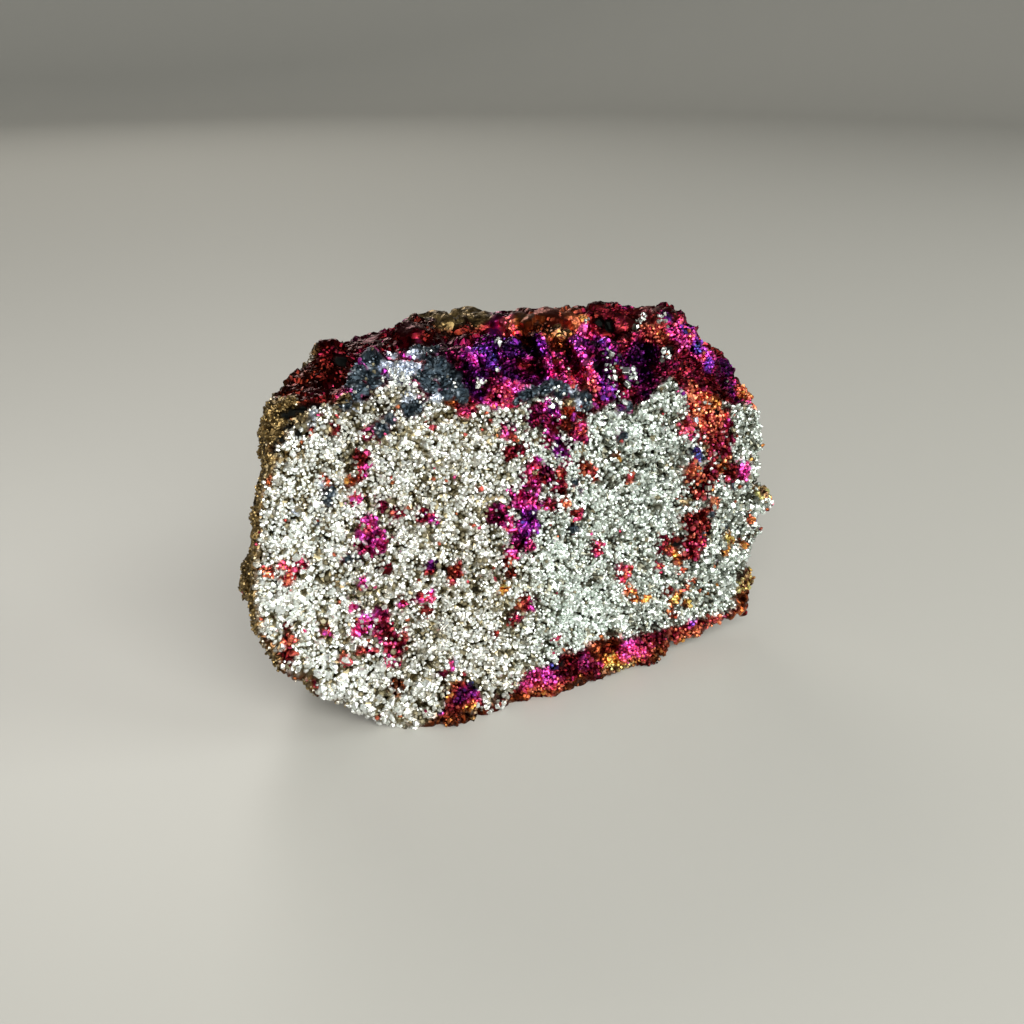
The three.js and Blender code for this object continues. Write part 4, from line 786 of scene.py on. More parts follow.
def ballGrain(unevenness):
    # a rounded grain, from a ball of twenty faces
    shape = bmesh.new()
    bmesh.ops.create_icosphere(shape, subdivisions=1, radius=1)
    for corner in shape.verts:
        corner.co *= 1 - unevenness * chance.uniform(0, 1)
        corner.co += Vector(chance.normal(0, unevenness * grainKinds["cornerShift"], 3))
    return finishedGrain(shape)


def shardGrain(corners):
    # a sharp grain: the hull of a few corners thrown on a ball
    shape = bmesh.new()
    for way in chance.normal(size=(corners, 3)):
        shape.verts.new(Vector(way).normalized() * chance.uniform(*grainKinds["cornerReach"]))
    return finishedGrain(shape)


def blockGrain():
    # a small square crystal with worn edges
    shape = bmesh.new()
    bmesh.ops.create_cube(shape, size=grainKinds["blockSize"])
    bmesh.ops.bevel(shape, geom=shape.edges[:], offset=grainKinds["blockWear"], offset_type="OFFSET",
                    affect="EDGES", segments=1, profile=0.5, material=-1)
    points, faces = finishedGrain(shape)
    # a hull with flat sides gives its faces in a different order each time, so they are put in one
    return points, np.array(sorted(np.roll(face, -face.argmin()).tolist() for face in faces))


def finishedGrain(shape):
    # only the corners are kept, so that the hull is the one skin
    bmesh.ops.delete(shape, geom=shape.edges[:] + shape.faces[:], context="EDGES_FACES")
    bmesh.ops.convex_hull(shape, input=shape.verts)
    loose = [corner for corner in shape.verts if not corner.link_faces]
    bmesh.ops.delete(shape, geom=loose, context="VERTS")
    bmesh.ops.triangulate(shape, faces=shape.faces)
    bmesh.ops.recalc_face_normals(shape, faces=shape.faces)
    shape.verts.index_update()
    points = np.array([corner.co for corner in shape.verts])
    faces = np.array([[corner.index for corner in face.verts] for face in shape.faces])
    shape.free()
    return points, faces


def randomTurns(count):
    q = chance.normal(size=(count, 4))
    w, x, y, z = (q / np.linalg.norm(q, axis=1, keepdims=True)).T
    return np.stack([
        np.stack([1 - 2 * (y * y + z * z), 2 * (x * y - z * w), 2 * (x * z + y * w)], 1),
        np.stack([2 * (x * y + z * w), 1 - 2 * (x * x + z * z), 2 * (y * z - x * w)], 1),
        np.stack([2 * (x * z - y * w), 2 * (y * z + x * w), 1 - 2 * (x * x + y * y)], 1),
    ], 1)


def spread(keep, perSquare):
    # loose points all over the kept triangles of the lump, with the way they face and their facts
    kept = np.flatnonzero(keep)
    a, b, c = (orePoints[oreTriangles[kept, k]] for k in range(3))
    area = np.linalg.norm(np.cross(b - a, c - a), axis=1) / 2
    picked = oreTriangles[np.repeat(kept, (area * perSquare + chance.uniform(0, 1, len(kept))).astype(int))]
    share = chance.dirichlet((1, 1, 1), len(picked))
    found = {key: (value[picked] * share).sum(1) for key, value in oreFacts.items()}
    spots = (orePoints[picked] * share[:, :, None]).sum(1)
    return spots, (oreBroad[picked] * share[:, :, None]).sum(1), found


def chosen(which, spots, ways, found):
    return spots[which], ways[which], {key: value[which] for key, value in found.items()}


def packed(spots, sizes, closeness, room):
    # picks spots for grains, the biggest first, so that they touch but hardly overlap
    tree = kdtree.KDTree(len(spots))
    for i, spot in enumerate(spots):
        tree.insert(spot, i)
    tree.balance()
    clear = np.full(len(spots), np.inf)
    biggest = sizes[0][0]
    taken, radii = [], []
    for radius, most in sizes:
        need = closeness * radius
        left = most
        for i in chance.permutation(np.flatnonzero((clear >= need) & (room >= radius))):
            if clear[i] < need:
                continue
            taken.append(i)
            radii.append(radius)
            for _, j, apart in tree.find_range(spots[i], closeness * (radius + biggest)):
                if apart - need < clear[j]:
                    clear[j] = apart - need
            left -= 1
            if left == 0:
                break
    return np.array(taken), np.array(radii)


def grainMesh(name, kinds, shares, spots, halves, values):
    # one mesh of all the grains, each a turned and stretched copy of one kind
    count = len(spots)
    mine = chance.choice(len(kinds), count, p=np.array(shares) / sum(shares))
    turns = randomTurns(count)
    allPoints, allFaces, owners, faceOwners = [], [], [], []
    start = 0
    for k, (points, faces) in enumerate(kinds):
        who = np.where(mine == k)[0]
        if len(who) == 0:
            continue
        stretched = points[None] * halves[who][:, None, :]
        placed = np.einsum("nij,npj->npi", turns[who], stretched) + spots[who][:, None, :]
        offsets = start + np.arange(len(who)) * len(points)
        allPoints.append(placed.reshape(-1, 3))
        allFaces.append((faces[None] + offsets[:, None, None]).reshape(-1, 3))
        owners.append(np.repeat(who, len(points)))
        faceOwners.append(np.repeat(who, len(faces)))
        start += len(who) * len(points)
    points, faces = np.concatenate(allPoints), np.concatenate(allFaces)
    owner, faceOwner = np.concatenate(owners), np.concatenate(faceOwners)
    points[:, 2] = np.maximum(points[:, 2], 0.01)
    mesh = bpy.data.meshes.new(name)
    mesh.from_pydata((points * mm).tolist(), [], faces.tolist())
    for key, value in values.items():
        colourLayer(mesh, key, value[owner])
    colourLayer(mesh, "fleck", chance.uniform(0, 1, len(faces)), "FACE")
    side = math.ceil(math.sqrt(count))
    cell = np.stack([faceOwner % side, faceOwner // side], 1)[:, None, :]
    corner = np.array([(0.08, 0.08), (0.92, 0.08), (0.08, 0.92)])[None]
    layer = mesh.uv_layers.new(name="OFBake")
    layer.data.foreach_set("uv", ((cell + corner) / side).astype(np.float32).ravel())
    return mesh


def attribute(tree, name):
    node = tree.nodes.new("ShaderNodeAttribute")
    node.attribute_name = name
    return node.outputs["Fac"]


def maths(tree, operation, *values):
    node = tree.nodes.new("ShaderNodeMath")
    node.operation = operation
    for socket, value in zip(node.inputs, values):
        if isinstance(value, (int, float)):
            socket.default_value = value
        else:
            tree.links.new(value, socket)
    return node.outputs[0]


def blended(tree, share, a, b, kind="MIX"):
    node = tree.nodes.new("ShaderNodeMix")
    node.data_type = "RGBA"
    node.blend_type = kind
    for socket, value in ((node.inputs["Factor"], share), (node.inputs["A"], a), (node.inputs["B"], b)):
        if isinstance(value, (int, float)):
            socket.default_value = value
        elif isinstance(value, tuple):
            socket.default_value = (*value, 1)
        else:
            tree.links.new(value, socket)
    return node.outputs["Result"]


def coated(tree, colour, name, coat):
    # lays a coat over the colour where the named share says
    return blended(tree, attribute(tree, name), colour, coat)


def placedNoise(tree, size, detail):
    # noise in the piece's own millimetres
    place = tree.nodes.new("ShaderNodeTexCoord")
    node = tree.nodes.new("ShaderNodeTexNoise")
    node.inputs["Detail"].default_value = detail
    node.inputs["Scale"].default_value = 1 / (size * mm)
    tree.links.new(place.outputs["Object"], node.inputs["Vector"])
    return node.outputs["Fac"]


def rampOf(tree, place, stops):
    # the colour that the stops give for a value of 0 to 1
    node = tree.nodes.new("ShaderNodeValToRGB")
    band = node.color_ramp.elements
    while len(band) < len(stops):
        band.new(0.5)
    for stop, (position, colour) in zip(band, stops):
        stop.position = position
        stop.color = (*colour, 1)
    tree.links.new(place, node.inputs["Fac"])
    return node.outputs["Color"]


def newMaterial(name, metal=1.0):
    material = bpy.data.materials.new(name)
    material.use_nodes = True
    shader = material.node_tree.nodes["Principled BSDF"]
    shader.inputs["Metallic"].default_value = metal
    return material, material.node_tree, shader


def fineBump(tree, shader, size, strength, distance):
    bump = tree.nodes.new("ShaderNodeBump")
    bump.inputs["Strength"].default_value = strength
    bump.inputs["Distance"].default_value = distance * mm
    tree.links.new(placedNoise(tree, size, 4.0), bump.inputs["Height"])
    tree.links.new(bump.outputs["Normal"], shader.inputs["Normal"])
    return bump


def roughened(tree, shader, size, low, high, mattParts):
    # roughness that wanders from low to high, and is at least so much in each matt part
    between = tree.nodes.new("ShaderNodeMapRange")
    for name, value in (("From Min", 0.3), ("From Max", 0.7), ("To Min", low), ("To Max", high)):
        between.inputs[name].default_value = value
    tree.links.new(placedNoise(tree, size, 2.0), between.inputs["Value"])
    rough = between.outputs["Result"]
    for share, least in mattParts:
        rough = maths(tree, "MAXIMUM", rough, maths(tree, "MULTIPLY", share, least))
    tree.links.new(rough, shader.inputs["Roughness"])


tarnishFilm = {
    "colours": [
        (0.00, (0.50, 0.49, 0.20)), (0.11, (0.76, 0.51, 0.11)), (0.22, (0.72, 0.33, 0.07)),
        (0.34, (0.72, 0.27, 0.12)), (0.43, (0.70, 0.17, 0.11)), (0.49, (0.70, 0.10, 0.16)),
        (0.56, (0.78, 0.10, 0.32)), (0.64, (0.74, 0.11, 0.56)), (0.71, (0.50, 0.075, 0.60)),
        (0.78, (0.27, 0.05, 0.56)), (0.86, (0.13, 0.07, 0.50)), (0.94, (0.04, 0.07, 0.23)),
        (1.00, (0.03, 0.05, 0.07)),
    ],
    "dimming": [
        (0.0, (1.0, 1.0, 1.0)), (0.3, (0.72, 0.52, 0.58)), (0.6, (0.36, 0.18, 0.24)),
        (1.0, (0.09, 0.03, 0.04)),
    ],
    "noise": (0.5, 3.0),  # size and detail
    "wander": 0.05,
    "fleck": 0.08,  # how much the facets differ
}


def filmOf(tree):
    # the tarnish colour, wandering a little from facet to facet, and darker where it is shaded
    wide, fleck = tarnishFilm["wander"], tarnishFilm["fleck"]
    moved = placedNoise(tree, *tarnishFilm["noise"])
    moved = maths(tree, "MULTIPLY_ADD", moved, 2 * wide, attribute(tree, "film"))
    moved = maths(tree, "SUBTRACT", moved, wide)
    flick = maths(tree, "MULTIPLY_ADD", attribute(tree, "fleck"), fleck, moved)
    flick = maths(tree, "SUBTRACT", flick, fleck / 2)
    dimming = rampOf(tree, attribute(tree, "shade"), tarnishFilm["dimming"])
    return blended(tree, 1.0, rampOf(tree, flick, tarnishFilm["colours"]), dimming, "MULTIPLY")


oreFinish = {
    "brass": [(0.32, (0.030, 0.019, 0.008)), (0.5, (0.14, 0.092, 0.036)), (0.68, (0.42, 0.29, 0.12))],
    "brassNoise": (0.8, 3.0),
    "slate": [(0.35, (0.010, 0.016, 0.022)), (0.58, (0.045, 0.062, 0.076)), (0.75, (0.17, 0.195, 0.22))],
    "slateNoise": (0.6, 3.0),
    "pale": (0.48, 0.53, 0.62),
    # the ground between the crust's grains, on the left and on the right: the darker stops are painted shade
    # toward the grooves between clumps, and the warm left and cool right tints are painted light, the colours
    # of the light on each side
    "warmGround": [(0.25, (0.44, 0.42, 0.37)), (0.60, (0.195, 0.168, 0.098)), (0.95, (0.072, 0.060, 0.034))],
    "coolGround": [(0.25, (0.48, 0.52, 0.47)), (0.65, (0.16, 0.16, 0.12)), (0.98, (0.045, 0.043, 0.03))],
    "gritNoise": (0.35, 3.0),
    "gritAndGrooveShade": 0.9,
    "gritStart": 0.40,
    "tan": (0.17, 0.13, 0.07),
    "under": (0.16, 0.11, 0.07),
    # painted shade: near-black for the dark inside the pits
    "pitShade": (0.010, 0.011, 0.010),
    "underMetal": -0.9,  # how much less metal shows on the underside
    "glassyBump": -0.26,  # how much less bump the glassy parts have
    "roughness": (0.9, 0.15, 0.30),  # size of its patches, least and most
    "mattPitShade": 0.75,
    "mattStone": 0.48,
    "mattBrass": 0.40,
    "mattGlassy": 0.32,
    "bump": (0.18, 0.35, 0.03),  # size, strength and depth
}


def oreMaterial():
    material, tree, shader = newMaterial("tarnishedOre")
    finish = oreFinish
    brassy = rampOf(tree, placedNoise(tree, *finish["brassNoise"]), finish["brass"])
    colour = coated(tree, filmOf(tree), "brass", brassy)
    slaty = rampOf(tree, placedNoise(tree, *finish["slateNoise"]), finish["slate"])
    colour = coated(tree, colour, "slate", slaty)
    colour = coated(tree, colour, "pale", finish["pale"])
    # the noise is a random grit tone; the clump edge added to it is painted shade, darkening the ground
    # toward the grooves between clumps
    gritAndGrooveShade = placedNoise(tree, *finish["gritNoise"])
    gritAndGrooveShade = maths(tree, "MULTIPLY_ADD", gritAndGrooveShade, finish["gritAndGrooveShade"], attribute(tree, "clumpEdge"))
    gritAndGrooveShade = maths(tree, "SUBTRACT", gritAndGrooveShade, finish["gritStart"])
    ground = rampOf(tree, gritAndGrooveShade, finish["warmGround"])
    # painted light: the right side's ground takes the cool tint of the light there
    ground = coated(tree, ground, "cool", rampOf(tree, gritAndGrooveShade, finish["coolGround"]))
    colour = coated(tree, colour, "crust", ground)
    # the pit colour laid on here is painted shade
    for part in ("tan", "under", "pitShade"):
        colour = coated(tree, colour, part, finish[part])
    tree.links.new(colour, shader.inputs["Base Color"])
    metal = maths(tree, "MULTIPLY_ADD", attribute(tree, "under"), finish["underMetal"], 1.0)
    tree.links.new(metal, shader.inputs["Metallic"])
    stony = maths(tree, "MAXIMUM", attribute(tree, "slate"), attribute(tree, "pale"))
    roughened(tree, shader, *finish["roughness"], [
        (attribute(tree, "pitShade"), finish["mattPitShade"]), (stony, finish["mattStone"]),
        (attribute(tree, "brass"), finish["mattBrass"]), (attribute(tree, "glassy"), finish["mattGlassy"]),
    ])
    bump = fineBump(tree, shader, *finish["bump"])
    strength = maths(tree, "MULTIPLY_ADD", attribute(tree, "glassy"), finish["glassyBump"], finish["bump"][1])
    tree.links.new(strength, bump.inputs["Strength"])
    return material


grainFinish = {
    # the warm left and cool right silver are painted light: copies of one silver tinted by the colour of the
    # light on each side
    "warmSilver": [
        (0.0, (0.10, 0.085, 0.05)), (0.18, (0.36, 0.34, 0.27)), (0.38, (0.72, 0.73, 0.69)),
        (1.0, (0.90, 0.94, 0.92)),
    ],
    "coolSilver": [
        (0.0, (0.07, 0.075, 0.055)), (0.18, (0.34, 0.37, 0.33)), (0.38, (0.70, 0.76, 0.72)),
        (1.0, (0.88, 0.945, 0.92)),
    ],
    "grime": [(0.30, (0.60, 0.56, 0.48)), (0.50, (1.0, 1.0, 1.0))],
    "grimeNoise": (0.22, 2.0),
    "grimeShare": 0.8,
    "pale": (0.50, 0.54, 0.62),
    "tan": (0.27, 0.238, 0.15),
    "olive": [(0.0, (0.045, 0.029, 0.012)), (0.5, (0.17, 0.115, 0.042)), (1.0, (0.40, 0.285, 0.12))],
    "slate": [(0.2, (0.012, 0.018, 0.024)), (0.6, (0.048, 0.064, 0.078)), (1.0, (0.22, 0.25, 0.28))],
    "metal": 0.88,
    "roughness": (0.7, 0.22, 0.40),
    "mattTan": 0.55,
    "bump": (0.12, 0.35, 0.03),
}


def grainMaterial():
    # silver grains and tarnished ones share this: the silver attribute says which a grain is
    finish = grainFinish
    material, tree, shader = newMaterial("oreGrains", finish["metal"])
    tone = attribute(tree, "tone")
    silver = rampOf(tree, tone, finish["warmSilver"])
    # painted light: the right side's silver takes the cool tint of the light there
    silver = coated(tree, silver, "cool", rampOf(tree, tone, finish["coolSilver"]))
    grime = rampOf(tree, placedNoise(tree, *finish["grimeNoise"]), finish["grime"])
    silver = blended(tree, finish["grimeShare"], silver, grime, "MULTIPLY")
    silver = coated(tree, silver, "pale", finish["pale"])
    silver = coated(tree, silver, "tan", finish["tan"])
    silver = coated(tree, silver, "olive", rampOf(tree, tone, finish["olive"]))
    silver = coated(tree, silver, "slate", rampOf(tree, tone, finish["slate"]))
    tree.links.new(coated(tree, filmOf(tree), "silver", silver), shader.inputs["Base Color"])
    roughened(tree, shader, *finish["roughness"], [(attribute(tree, "tan"), finish["mattTan"])])
    fineBump(tree, shader, *finish["bump"])
    return material


shardFinish = {
    "brass": [(0.0, (0.12, 0.09, 0.045)), (0.5, (0.38, 0.30, 0.16)), (1.0, (0.74, 0.64, 0.42))],
    "roughness": (0.6, 0.12, 0.26),
    "bump": (0.12, 0.3, 0.03),
}


def shardMaterial():
    material, tree, shader = newMaterial("tarnishedShards")
    brassy = rampOf(tree, attribute(tree, "tone"), shardFinish["brass"])
    tree.links.new(coated(tree, filmOf(tree), "brass", brassy), shader.inputs["Base Color"])
    roughened(tree, shader, *shardFinish["roughness"], [])
    fineBump(tree, shader, *shardFinish["bump"])
    return material


print("ore: shaping the lump")
oreMesh, orePoints, oreTriangles, oreBroad, oreFacts = shapeBody(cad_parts["peacock_ore"])
chartMap(oreMesh, orePoints, oreTriangles, oreBroad)
ore = pieceOf(oreMesh, "oreBody", oreMaterial())
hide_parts("peacock_ore")
print("ore:", len(oreTriangles), "triangles")

balls = [ballGrain(unevenness) for unevenness in grainKinds["unevenness"]]
shards = [shardGrain(corners) for corners in grainKinds["corners"]]
blocks = [blockGrain()]
facing = oreBroad[oreTriangles].mean(1)

print("ore: the crust's grains")
crustGrains = {
    "sizes": [(0.44, 50), (0.36, 220), (0.29, 900), (0.235, 3000), (0.19, 9000), (0.155, 18000)],
    "shares": [2.4] * 6 + [0.5] * 5 + [0.7],  # of the rounded, sharp and square kinds
    "closeness": 0.76,
    "perSquare": 75,
    "leastFacing": -0.16,
    "fineParts": [(1, -12, 9, 6.5), (5.5, -11.5, 12.5, 4.5), (-9, -12, 9, 3)],
    "coarseParts": [
        (-21, -11.5, 7, 4), (-14, -13.8, 2.5, 5), (21, -8.5, 14, 4), (18, -9.5, 8, 4), (10, -10.5, 19, 3),
        (9, -9, 25, 3), (-22, -10, 13, 3), (12.5, -9, 25, 3), (-4, -13.5, 4, 2.5),
    ],
    "radius": 0.26,  # largest radius of a grain, before the four changes below
    "finer": 0.08,
    "coarser": 0.20,
    "uneven": 0.05,
    "edgeFiner": 0.06,
    "whiteRadius": 0.33,  # of the white clusters, and how much more at the right foot
    "footWhite": 0.11,
    "brassRadius": 0.16,
    "slateRadius": 0.20,
    "specks": 0.022,  # share of the silver grains that are specks of tarnish
    "speckFilm": (0.28, 0.56),
    "speckShade": (0, 0.6),
    "filmSpread": 0.045,
    "shadeSpread": 0.18,
    "stretch": (0.8, 1.25),
    "facesEach": 21,  # about how many faces a grain has
    "mostFaces": 150000,  # about the most that one piece may hold
}
spots, ways, found = spread(facing @ outOfFace > crustGrains["leastFacing"], crustGrains["perSquare"])
brassy = found["brass"] * eased(-spots[:, 0], 15, 18) * (1 - found["behind"])
beads = np.maximum.reduce([
    found["inside"], found["white"], 0.9 * found["bead"], 0.8 * found["pale"], 0.9 * brassy,
])
beads = np.maximum(beads * (1 - found["slate"]), 0.50 * found["slate"]) * (1 - found["pitShade"])
beads *= 1 - 0.9 * found["glassy"] * (found["white"] < 0.5)
which = beads + 0.12 * cloud(spots, 0.5, 12.0) > 0.5
spots, ways, found = chosen(which, spots, ways, found)
fine = reachOf(spots, crustGrains["fineParts"]).max(1)
coarse = reachOf(spots, crustGrains["coarseParts"]).max(1) + 0.5 * eased(cloud(spots, 2.6, 3.3), 0.2, 0.7)
room = crustGrains["radius"] - crustGrains["finer"] * fine + crustGrains["coarser"] * coarse * (1 - fine)
room = room + crustGrains["uneven"] * chance.uniform(-1, 1, len(spots))
boulders = crustGrains["footWhite"] * eased(spots[:, 0], 14, 17) * eased(12 - spots[:, 2], 0, 3)
boulders = (crustGrains["whiteRadius"] + boulders) * found["white"]
room = np.maximum(room - crustGrains["edgeFiner"] * found["clumpEdge"], boulders)
room = np.where(brassy[which] > 0.5, crustGrains["brassRadius"], room)
room = np.where(found["slate"] > 0.5, crustGrains["slateRadius"], room)
picks, radii = packed(spots, crustGrains["sizes"], crustGrains["closeness"], room)
spots, ways, found = chosen(picks, spots, ways, found)
count = len(spots)
exact = facts(spots, ways)
brassy = found["brass"] * eased(-spots[:, 0], 15, 18)
silver = exact["crust"] + 0.12 * chance.normal(size=count)
silver = eased(np.maximum.reduce([silver, exact["white"], exact["pale"], exact["slate"], brassy]), 0.45, 0.55)
# a few grains in the stains stay silver
untouched = chance.uniform(size=count) < 0.05 + 0.07 * eased(-spots[:, 0], 3, 6)
silver[(found["inside"] > 0.5) & untouched] = 1
stained = (silver < 0.5) & (found["bead"] < 0.5)
# and a few in the silver are specks of tarnish
specks = crustGrains["specks"] * (0.35 + 2.2 * eased(cloud(spots, 1.1, 51.0), 0.25, 0.7))
specks *= 1 - 0.6 * exact["cool"] * eased(15 - spots[:, 0], 0, 3) + 1.2 * eased(spots[:, 0], 14, 18)
speck = (chance.uniform(size=count) < specks) & (radii < 0.24)
silver[speck] = 0
film = exact["film"] + crustGrains["filmSpread"] * chance.normal(size=count)
shade = exact["shade"] + crustGrains["shadeSpread"] * chance.normal(size=count) - 0.05
film[speck] = chance.uniform(*crustGrains["speckFilm"], speck.sum()) - 0.16 * eased(spots[speck, 0], 14, 18)
shade[speck] = chance.uniform(*crustGrains["speckShade"], speck.sum())
edge = found["clumpEdge"]
lift = radii * 0.34 + chance.uniform(-0.06, 0.10, count) - 0.10 * edge - 0.06 * stained
# grains at the edges of clumps are darker, painted shade in the grooves; at the left end, which faces away
# from the lamps, they are lighter, painted light; right of x = 4 they are darker
tone = 0.68 + 0.20 * chance.normal(size=count) + 0.08 * found["clumpTone"] - 0.22 * edge
tone += 0.36 * eased(-spots[:, 0], 15, 19) - 0.22 * eased(spots[:, 0], 4, 9) - 0.40 * brassy
tone += 0.20 * brassy * chance.normal(size=count)
tone[chance.uniform(size=count) < 0.04] *= 0.3
earthy = eased(cloud(spots, 1.5, 61.0) + 0.3 * edge, 0.32, 0.66) * (0.62 - 0.45 * exact["cool"])
# fewer tan grains at the left end, part of the painted light there
earthy *= 1 - 0.8 * eased(-spots[:, 0], 15, 19)
dull = exact["white"] < 0.5
tan = np.maximum(exact["tan"], chance.uniform(size=count) < earthy) * dull * (radii < 0.3)
halves = radii[:, None] * chance.uniform(*crustGrains["stretch"], (count, 3))
places = spots + ways * lift[:, None]
# thinner where the grain is stained, tan or at the edge of a clump
keep = ~(stained & (chance.uniform(size=count) < np.where(radii < 0.2, 0.82, 0.5)))
keep &= ~((tan > 0.5) & (chance.uniform(size=count) < 0.45))
keep &= ~((edge > 0.6) & (chance.uniform(size=count) < 0.25))
values = {
    "silver": silver,
    "film": np.clip(film, 0, 1),
    "shade": np.clip(shade, 0, 1),
    "tone": np.clip(tone, 0, 1),
    "tan": tan.astype(float),
    "pale": exact["pale"] * dull,
    "cool": exact["cool"],
    "olive": brassy * (1 - exact["pale"]),
    "slate": exact["slate"] * dull * (chance.uniform(size=count) > 0.07),
}
values = {key: value[keep] for key, value in values.items()}
places, halves, count = places[keep], halves[keep], keep.sum()
material = grainMaterial()
heaps = math.ceil(count * crustGrains["facesEach"] / crustGrains["mostFaces"])
for number in range(heaps):
    part = np.arange(count) % heaps == number
    partValues = {key: value[part] for key, value in values.items()}
    name = f"crustGrains{number}"
    kinds = balls + shards + blocks
    mesh = grainMesh(name, kinds, crustGrains["shares"], places[part], halves[part], partValues)
    pieceOf(mesh, name, material)
    print("ore: crust grains", len(mesh.polygons))


def scattered(grains, spots, ways, found, share, room):
    # sets grains on a share of the spots, each sunk and stretched a little
    picks, radii = packed(spots, grains["sizes"], grains["closeness"], room)
    kept = chance.uniform(size=len(picks)) < share[picks]
    picks, radii = picks[kept], radii[kept]
    spots, ways, found = chosen(picks, spots, ways, found)
    lift = chance.uniform(*grains["lift"], len(spots))
    halves = radii[:, None] * chance.uniform(*grains["stretch"], (len(spots), 3))
    return spots + ways * lift[:, None], halves, found


print("ore: tarnished shards")
shardGrains = {
    "sizes": [(0.40, 60), (0.32, 260), (0.26, 800), (0.21, 2200), (0.16, 3600)],
    "shares": [1.4] * 5 + [0.8] * 3,  # of the sharp and rounded kinds
    "closeness": 1.0,
    "perSquare": 30,
    "radius": 0.40,
    "rightFiner": 0.16,
    "lift": (-0.10, 0.04),
    "stretch": (0.55, 1.25),
    "filmSpread": 0.04,
    "shadeSpread": 0.2,
    "lighter": 0.15,
}
material = shardMaterial()
bareFront = (facing[:, 1] < 0.25) & (oreFacts["crust"][oreTriangles].mean(1) < 0.35)
spots, ways, found = spread(bareFront, shardGrains["perSquare"])
dull = np.maximum.reduce([found["slate"], found["pale"], found["pitShade"], found["under"], found["bead"]])
share = (1 - dull) * (1 - found["glassy"]) * (1 - found["brass"])
share = share * (0.24 - 0.14 * eased(found["shade"], 0.4, 0.9))
share *= (1 + 1.2 * found["inside"]) * eased(16 + 6 * found["inside"] - spots[:, 0], 0, 4)
room = shardGrains["radius"] - shardGrains["rightFiner"] * eased(spots[:, 0], 8, 16)
places, halves, found = scattered(shardGrains, spots, ways, found, share, room)
film = found["film"] + shardGrains["filmSpread"] * chance.normal(size=len(places))
shade = found["shade"] + shardGrains["shadeSpread"] * chance.normal(size=len(places)) - shardGrains["lighter"]
mesh = grainMesh("tarnishShards", shards + balls[3:], shardGrains["shares"], places, halves, {
    "film": np.clip(film, 0, 1), "shade": np.clip(shade, 0, 1), "brass": found["brass"],
    "tone": chance.uniform(0, 1, len(places)),
})
pieceOf(mesh, "tarnishShards", material)
print("ore: tarnish shards", len(mesh.polygons))

print("ore: coarse grains behind")
backGrains = {
    "sizes": [(0.42, 160), (0.35, 800), (0.29, 2400), (0.24, 4200)],
    "shares": [1.4] * 6 + [0.6] * 5 + [1.2],
    "closeness": 0.95,
    "perSquare": 18,
    "radius": 0.45,
    "leftFiner": 0.16,
    "lift": (-0.12, 0.04),
    "stretch": (0.75, 1.2),
    "filmSpread": 0.06,
}
spots, ways, found = spread((facing[:, 1] > 0.05) | (facing[:, 0] < -0.6), backGrains["perSquare"])
share = np.maximum(eased(spots[:, 1], 4, 9), eased(-spots[:, 0], 18, 21) * eased(spots[:, 1], -6, -2))
share *= (1 - found["crust"]) * (1 - found["under"]) * (0.25 + 0.6 * found["brass"])
room = backGrains["radius"] - backGrains["leftFiner"] * eased(-spots[:, 0], 17, 20)
room = np.where(share > 0.05, room, 0)
places, halves, found = scattered(backGrains, spots, ways, found, share, room)
film = found["film"] + backGrains["filmSpread"] * chance.normal(size=len(places))
mesh = grainMesh("backGrains", balls + shards + blocks, backGrains["shares"], places, halves, {
    "film": np.clip(film, 0, 1), "shade": found["shade"], "brass": found["brass"],
    "tone": chance.uniform(0, 1, len(places)),
})
pieceOf(mesh, "backGrains", material)
print("ore: back grains", len(mesh.polygons))

studio = {
    "floorReach": 0.55, "wallHeight": 0.5, "bend": 0.22,
    "floorColour": (0.48, 0.47, 0.43), "floorRoughness": 0.38,
    # each panel's place, size, power and colour, all turned to one point low in the lump
    "panels": {
        "frontPanel": ((-0.02, -0.42, 0.27), (0.56, 0.38), 4.3, (1.0, 1.0, 0.98)),
        "rightPanel": ((0.42, -0.16, 0.24), (0.26, 0.30), 1.1, (0.96, 1.0, 0.99)),
        "backPanel": ((-0.05, 0.45, 0.30), (0.30, 0.16), 0.70, (1.0, 0.96, 0.90)),
    },
    "aim": (0, 0, 0.015),
    "roomColour": (0.80, 0.84, 0.86), "roomLight": 0.08,
}


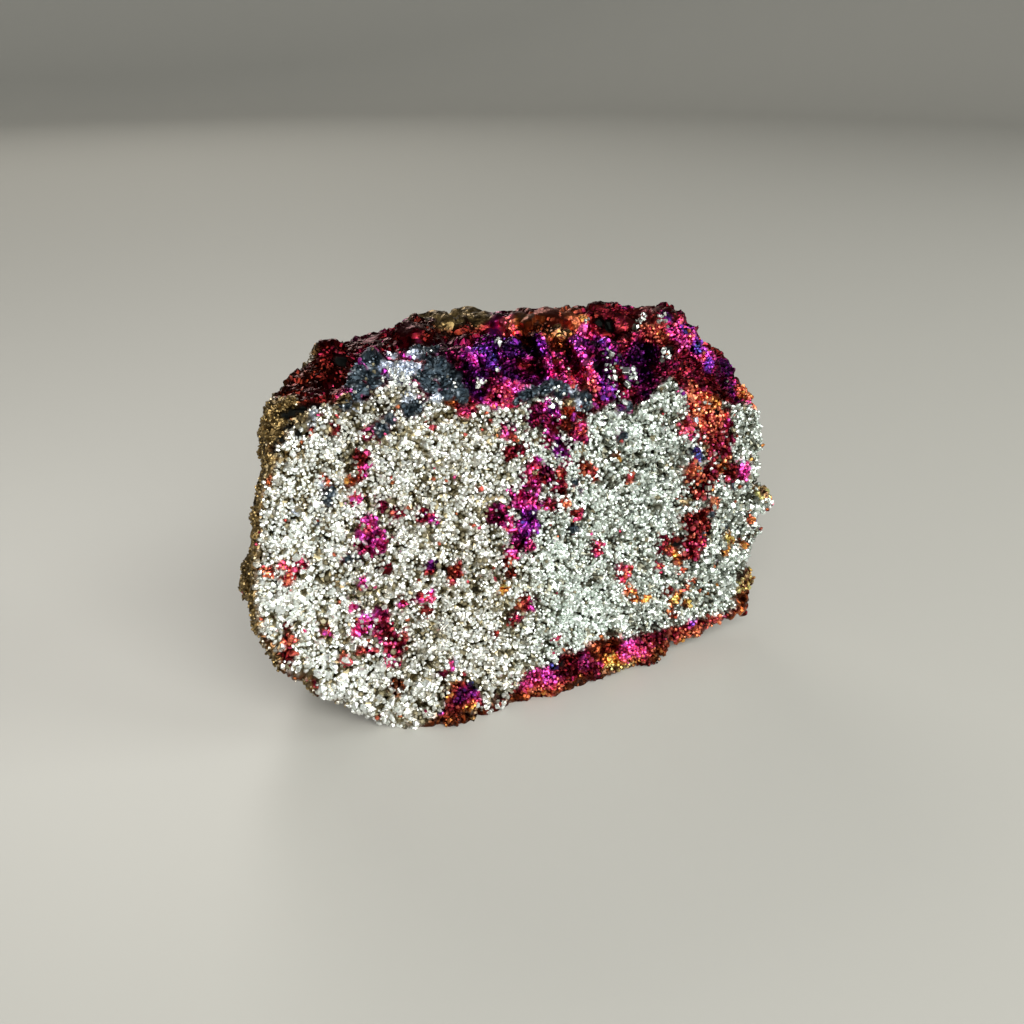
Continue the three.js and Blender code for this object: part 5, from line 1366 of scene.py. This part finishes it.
def sweptFloor():
    # a round floor that curves up into a wall
    shape = bmesh.new()
    reach, bend, height = studio["floorReach"], studio["bend"], studio["wallHeight"]
    profile = [(0.0, 0.0), (0.12, 0.0), (reach * 0.7, 0.0), (reach, 0.0)]
    for a in np.linspace(0.1, math.pi / 2, 16):
        profile.append((reach + bend * math.sin(a), bend * (1 - math.cos(a))))
    profile.append((reach + bend, height))
    corners = [shape.verts.new((x, 0, z)) for x, z in profile]
    edges = [shape.edges.new(pair) for pair in zip(corners, corners[1:])]
    bmesh.ops.spin(shape, geom=corners + edges, cent=(0, 0, 0), axis=(0, 0, 1), angle=math.tau,
                   steps=96, use_merge=True)
    bmesh.ops.remove_doubles(shape, verts=shape.verts, dist=1e-5)
    bmesh.ops.recalc_face_normals(shape, faces=shape.faces)
    if shape.faces[0].normal.z < 0:
        bmesh.ops.reverse_faces(shape, faces=shape.faces)
    for face in shape.faces:
        face.smooth = True
    mesh = bpy.data.meshes.new("studioFloor")
    shape.to_mesh(mesh)
    shape.free()
    floor = bpy.data.objects.new("studioFloor", mesh)
    bpy.context.scene.collection.objects.link(floor)
    material, tree, shader = newMaterial("studioFloor", 0.0)
    shader.inputs["Base Color"].default_value = (*studio["floorColour"], 1)
    shader.inputs["Roughness"].default_value = studio["floorRoughness"]
    mesh.materials.append(material)


def softLight(name, place, size, power, colour):
    light = bpy.data.lights.new(name, "AREA")
    light.shape = "RECTANGLE"
    light.size, light.size_y = size
    light.energy = power
    light.color = colour
    lamp = bpy.data.objects.new(name, light)
    lamp.location = place
    lamp.rotation_euler = (Vector(studio["aim"]) - Vector(place)).to_track_quat("-Z", "Y").to_euler()
    bpy.context.scene.collection.objects.link(lamp)


print("ore: floor, light and camera")
sweptFloor()
for name, panel in studio["panels"].items():
    softLight(name, *panel)

world = bpy.data.worlds.new("room")
world.use_nodes = True
background = world.node_tree.nodes["Background"]
background.inputs["Color"].default_value = (*studio["roomColour"], 1)
background.inputs["Strength"].default_value = studio["roomLight"]
bpy.context.scene.world = world
bpy.context.scene.view_settings.view_transform = "Standard"

view = {
    "place": (-30.32, -91.53, 57.55),
    "down": 25,  # degrees that it looks below level
    "round": -19.1,  # degrees that it is turned to the right
    "lens": 38.67,
    "sensor": 36,
    "nearest": 0.005,
}
cameraData = bpy.data.cameras.new("camera")
cameraData.lens = view["lens"]
cameraData.sensor_width = view["sensor"]
cameraData.clip_start = view["nearest"]
camera = bpy.data.objects.new("camera", cameraData)
camera.location = [value * mm for value in view["place"]]
camera.rotation_euler = (math.radians(90 - view["down"]), 0, math.radians(view["round"]))
bpy.context.scene.collection.objects.link(camera)
bpy.context.scene.camera = camera

print("ore: done")
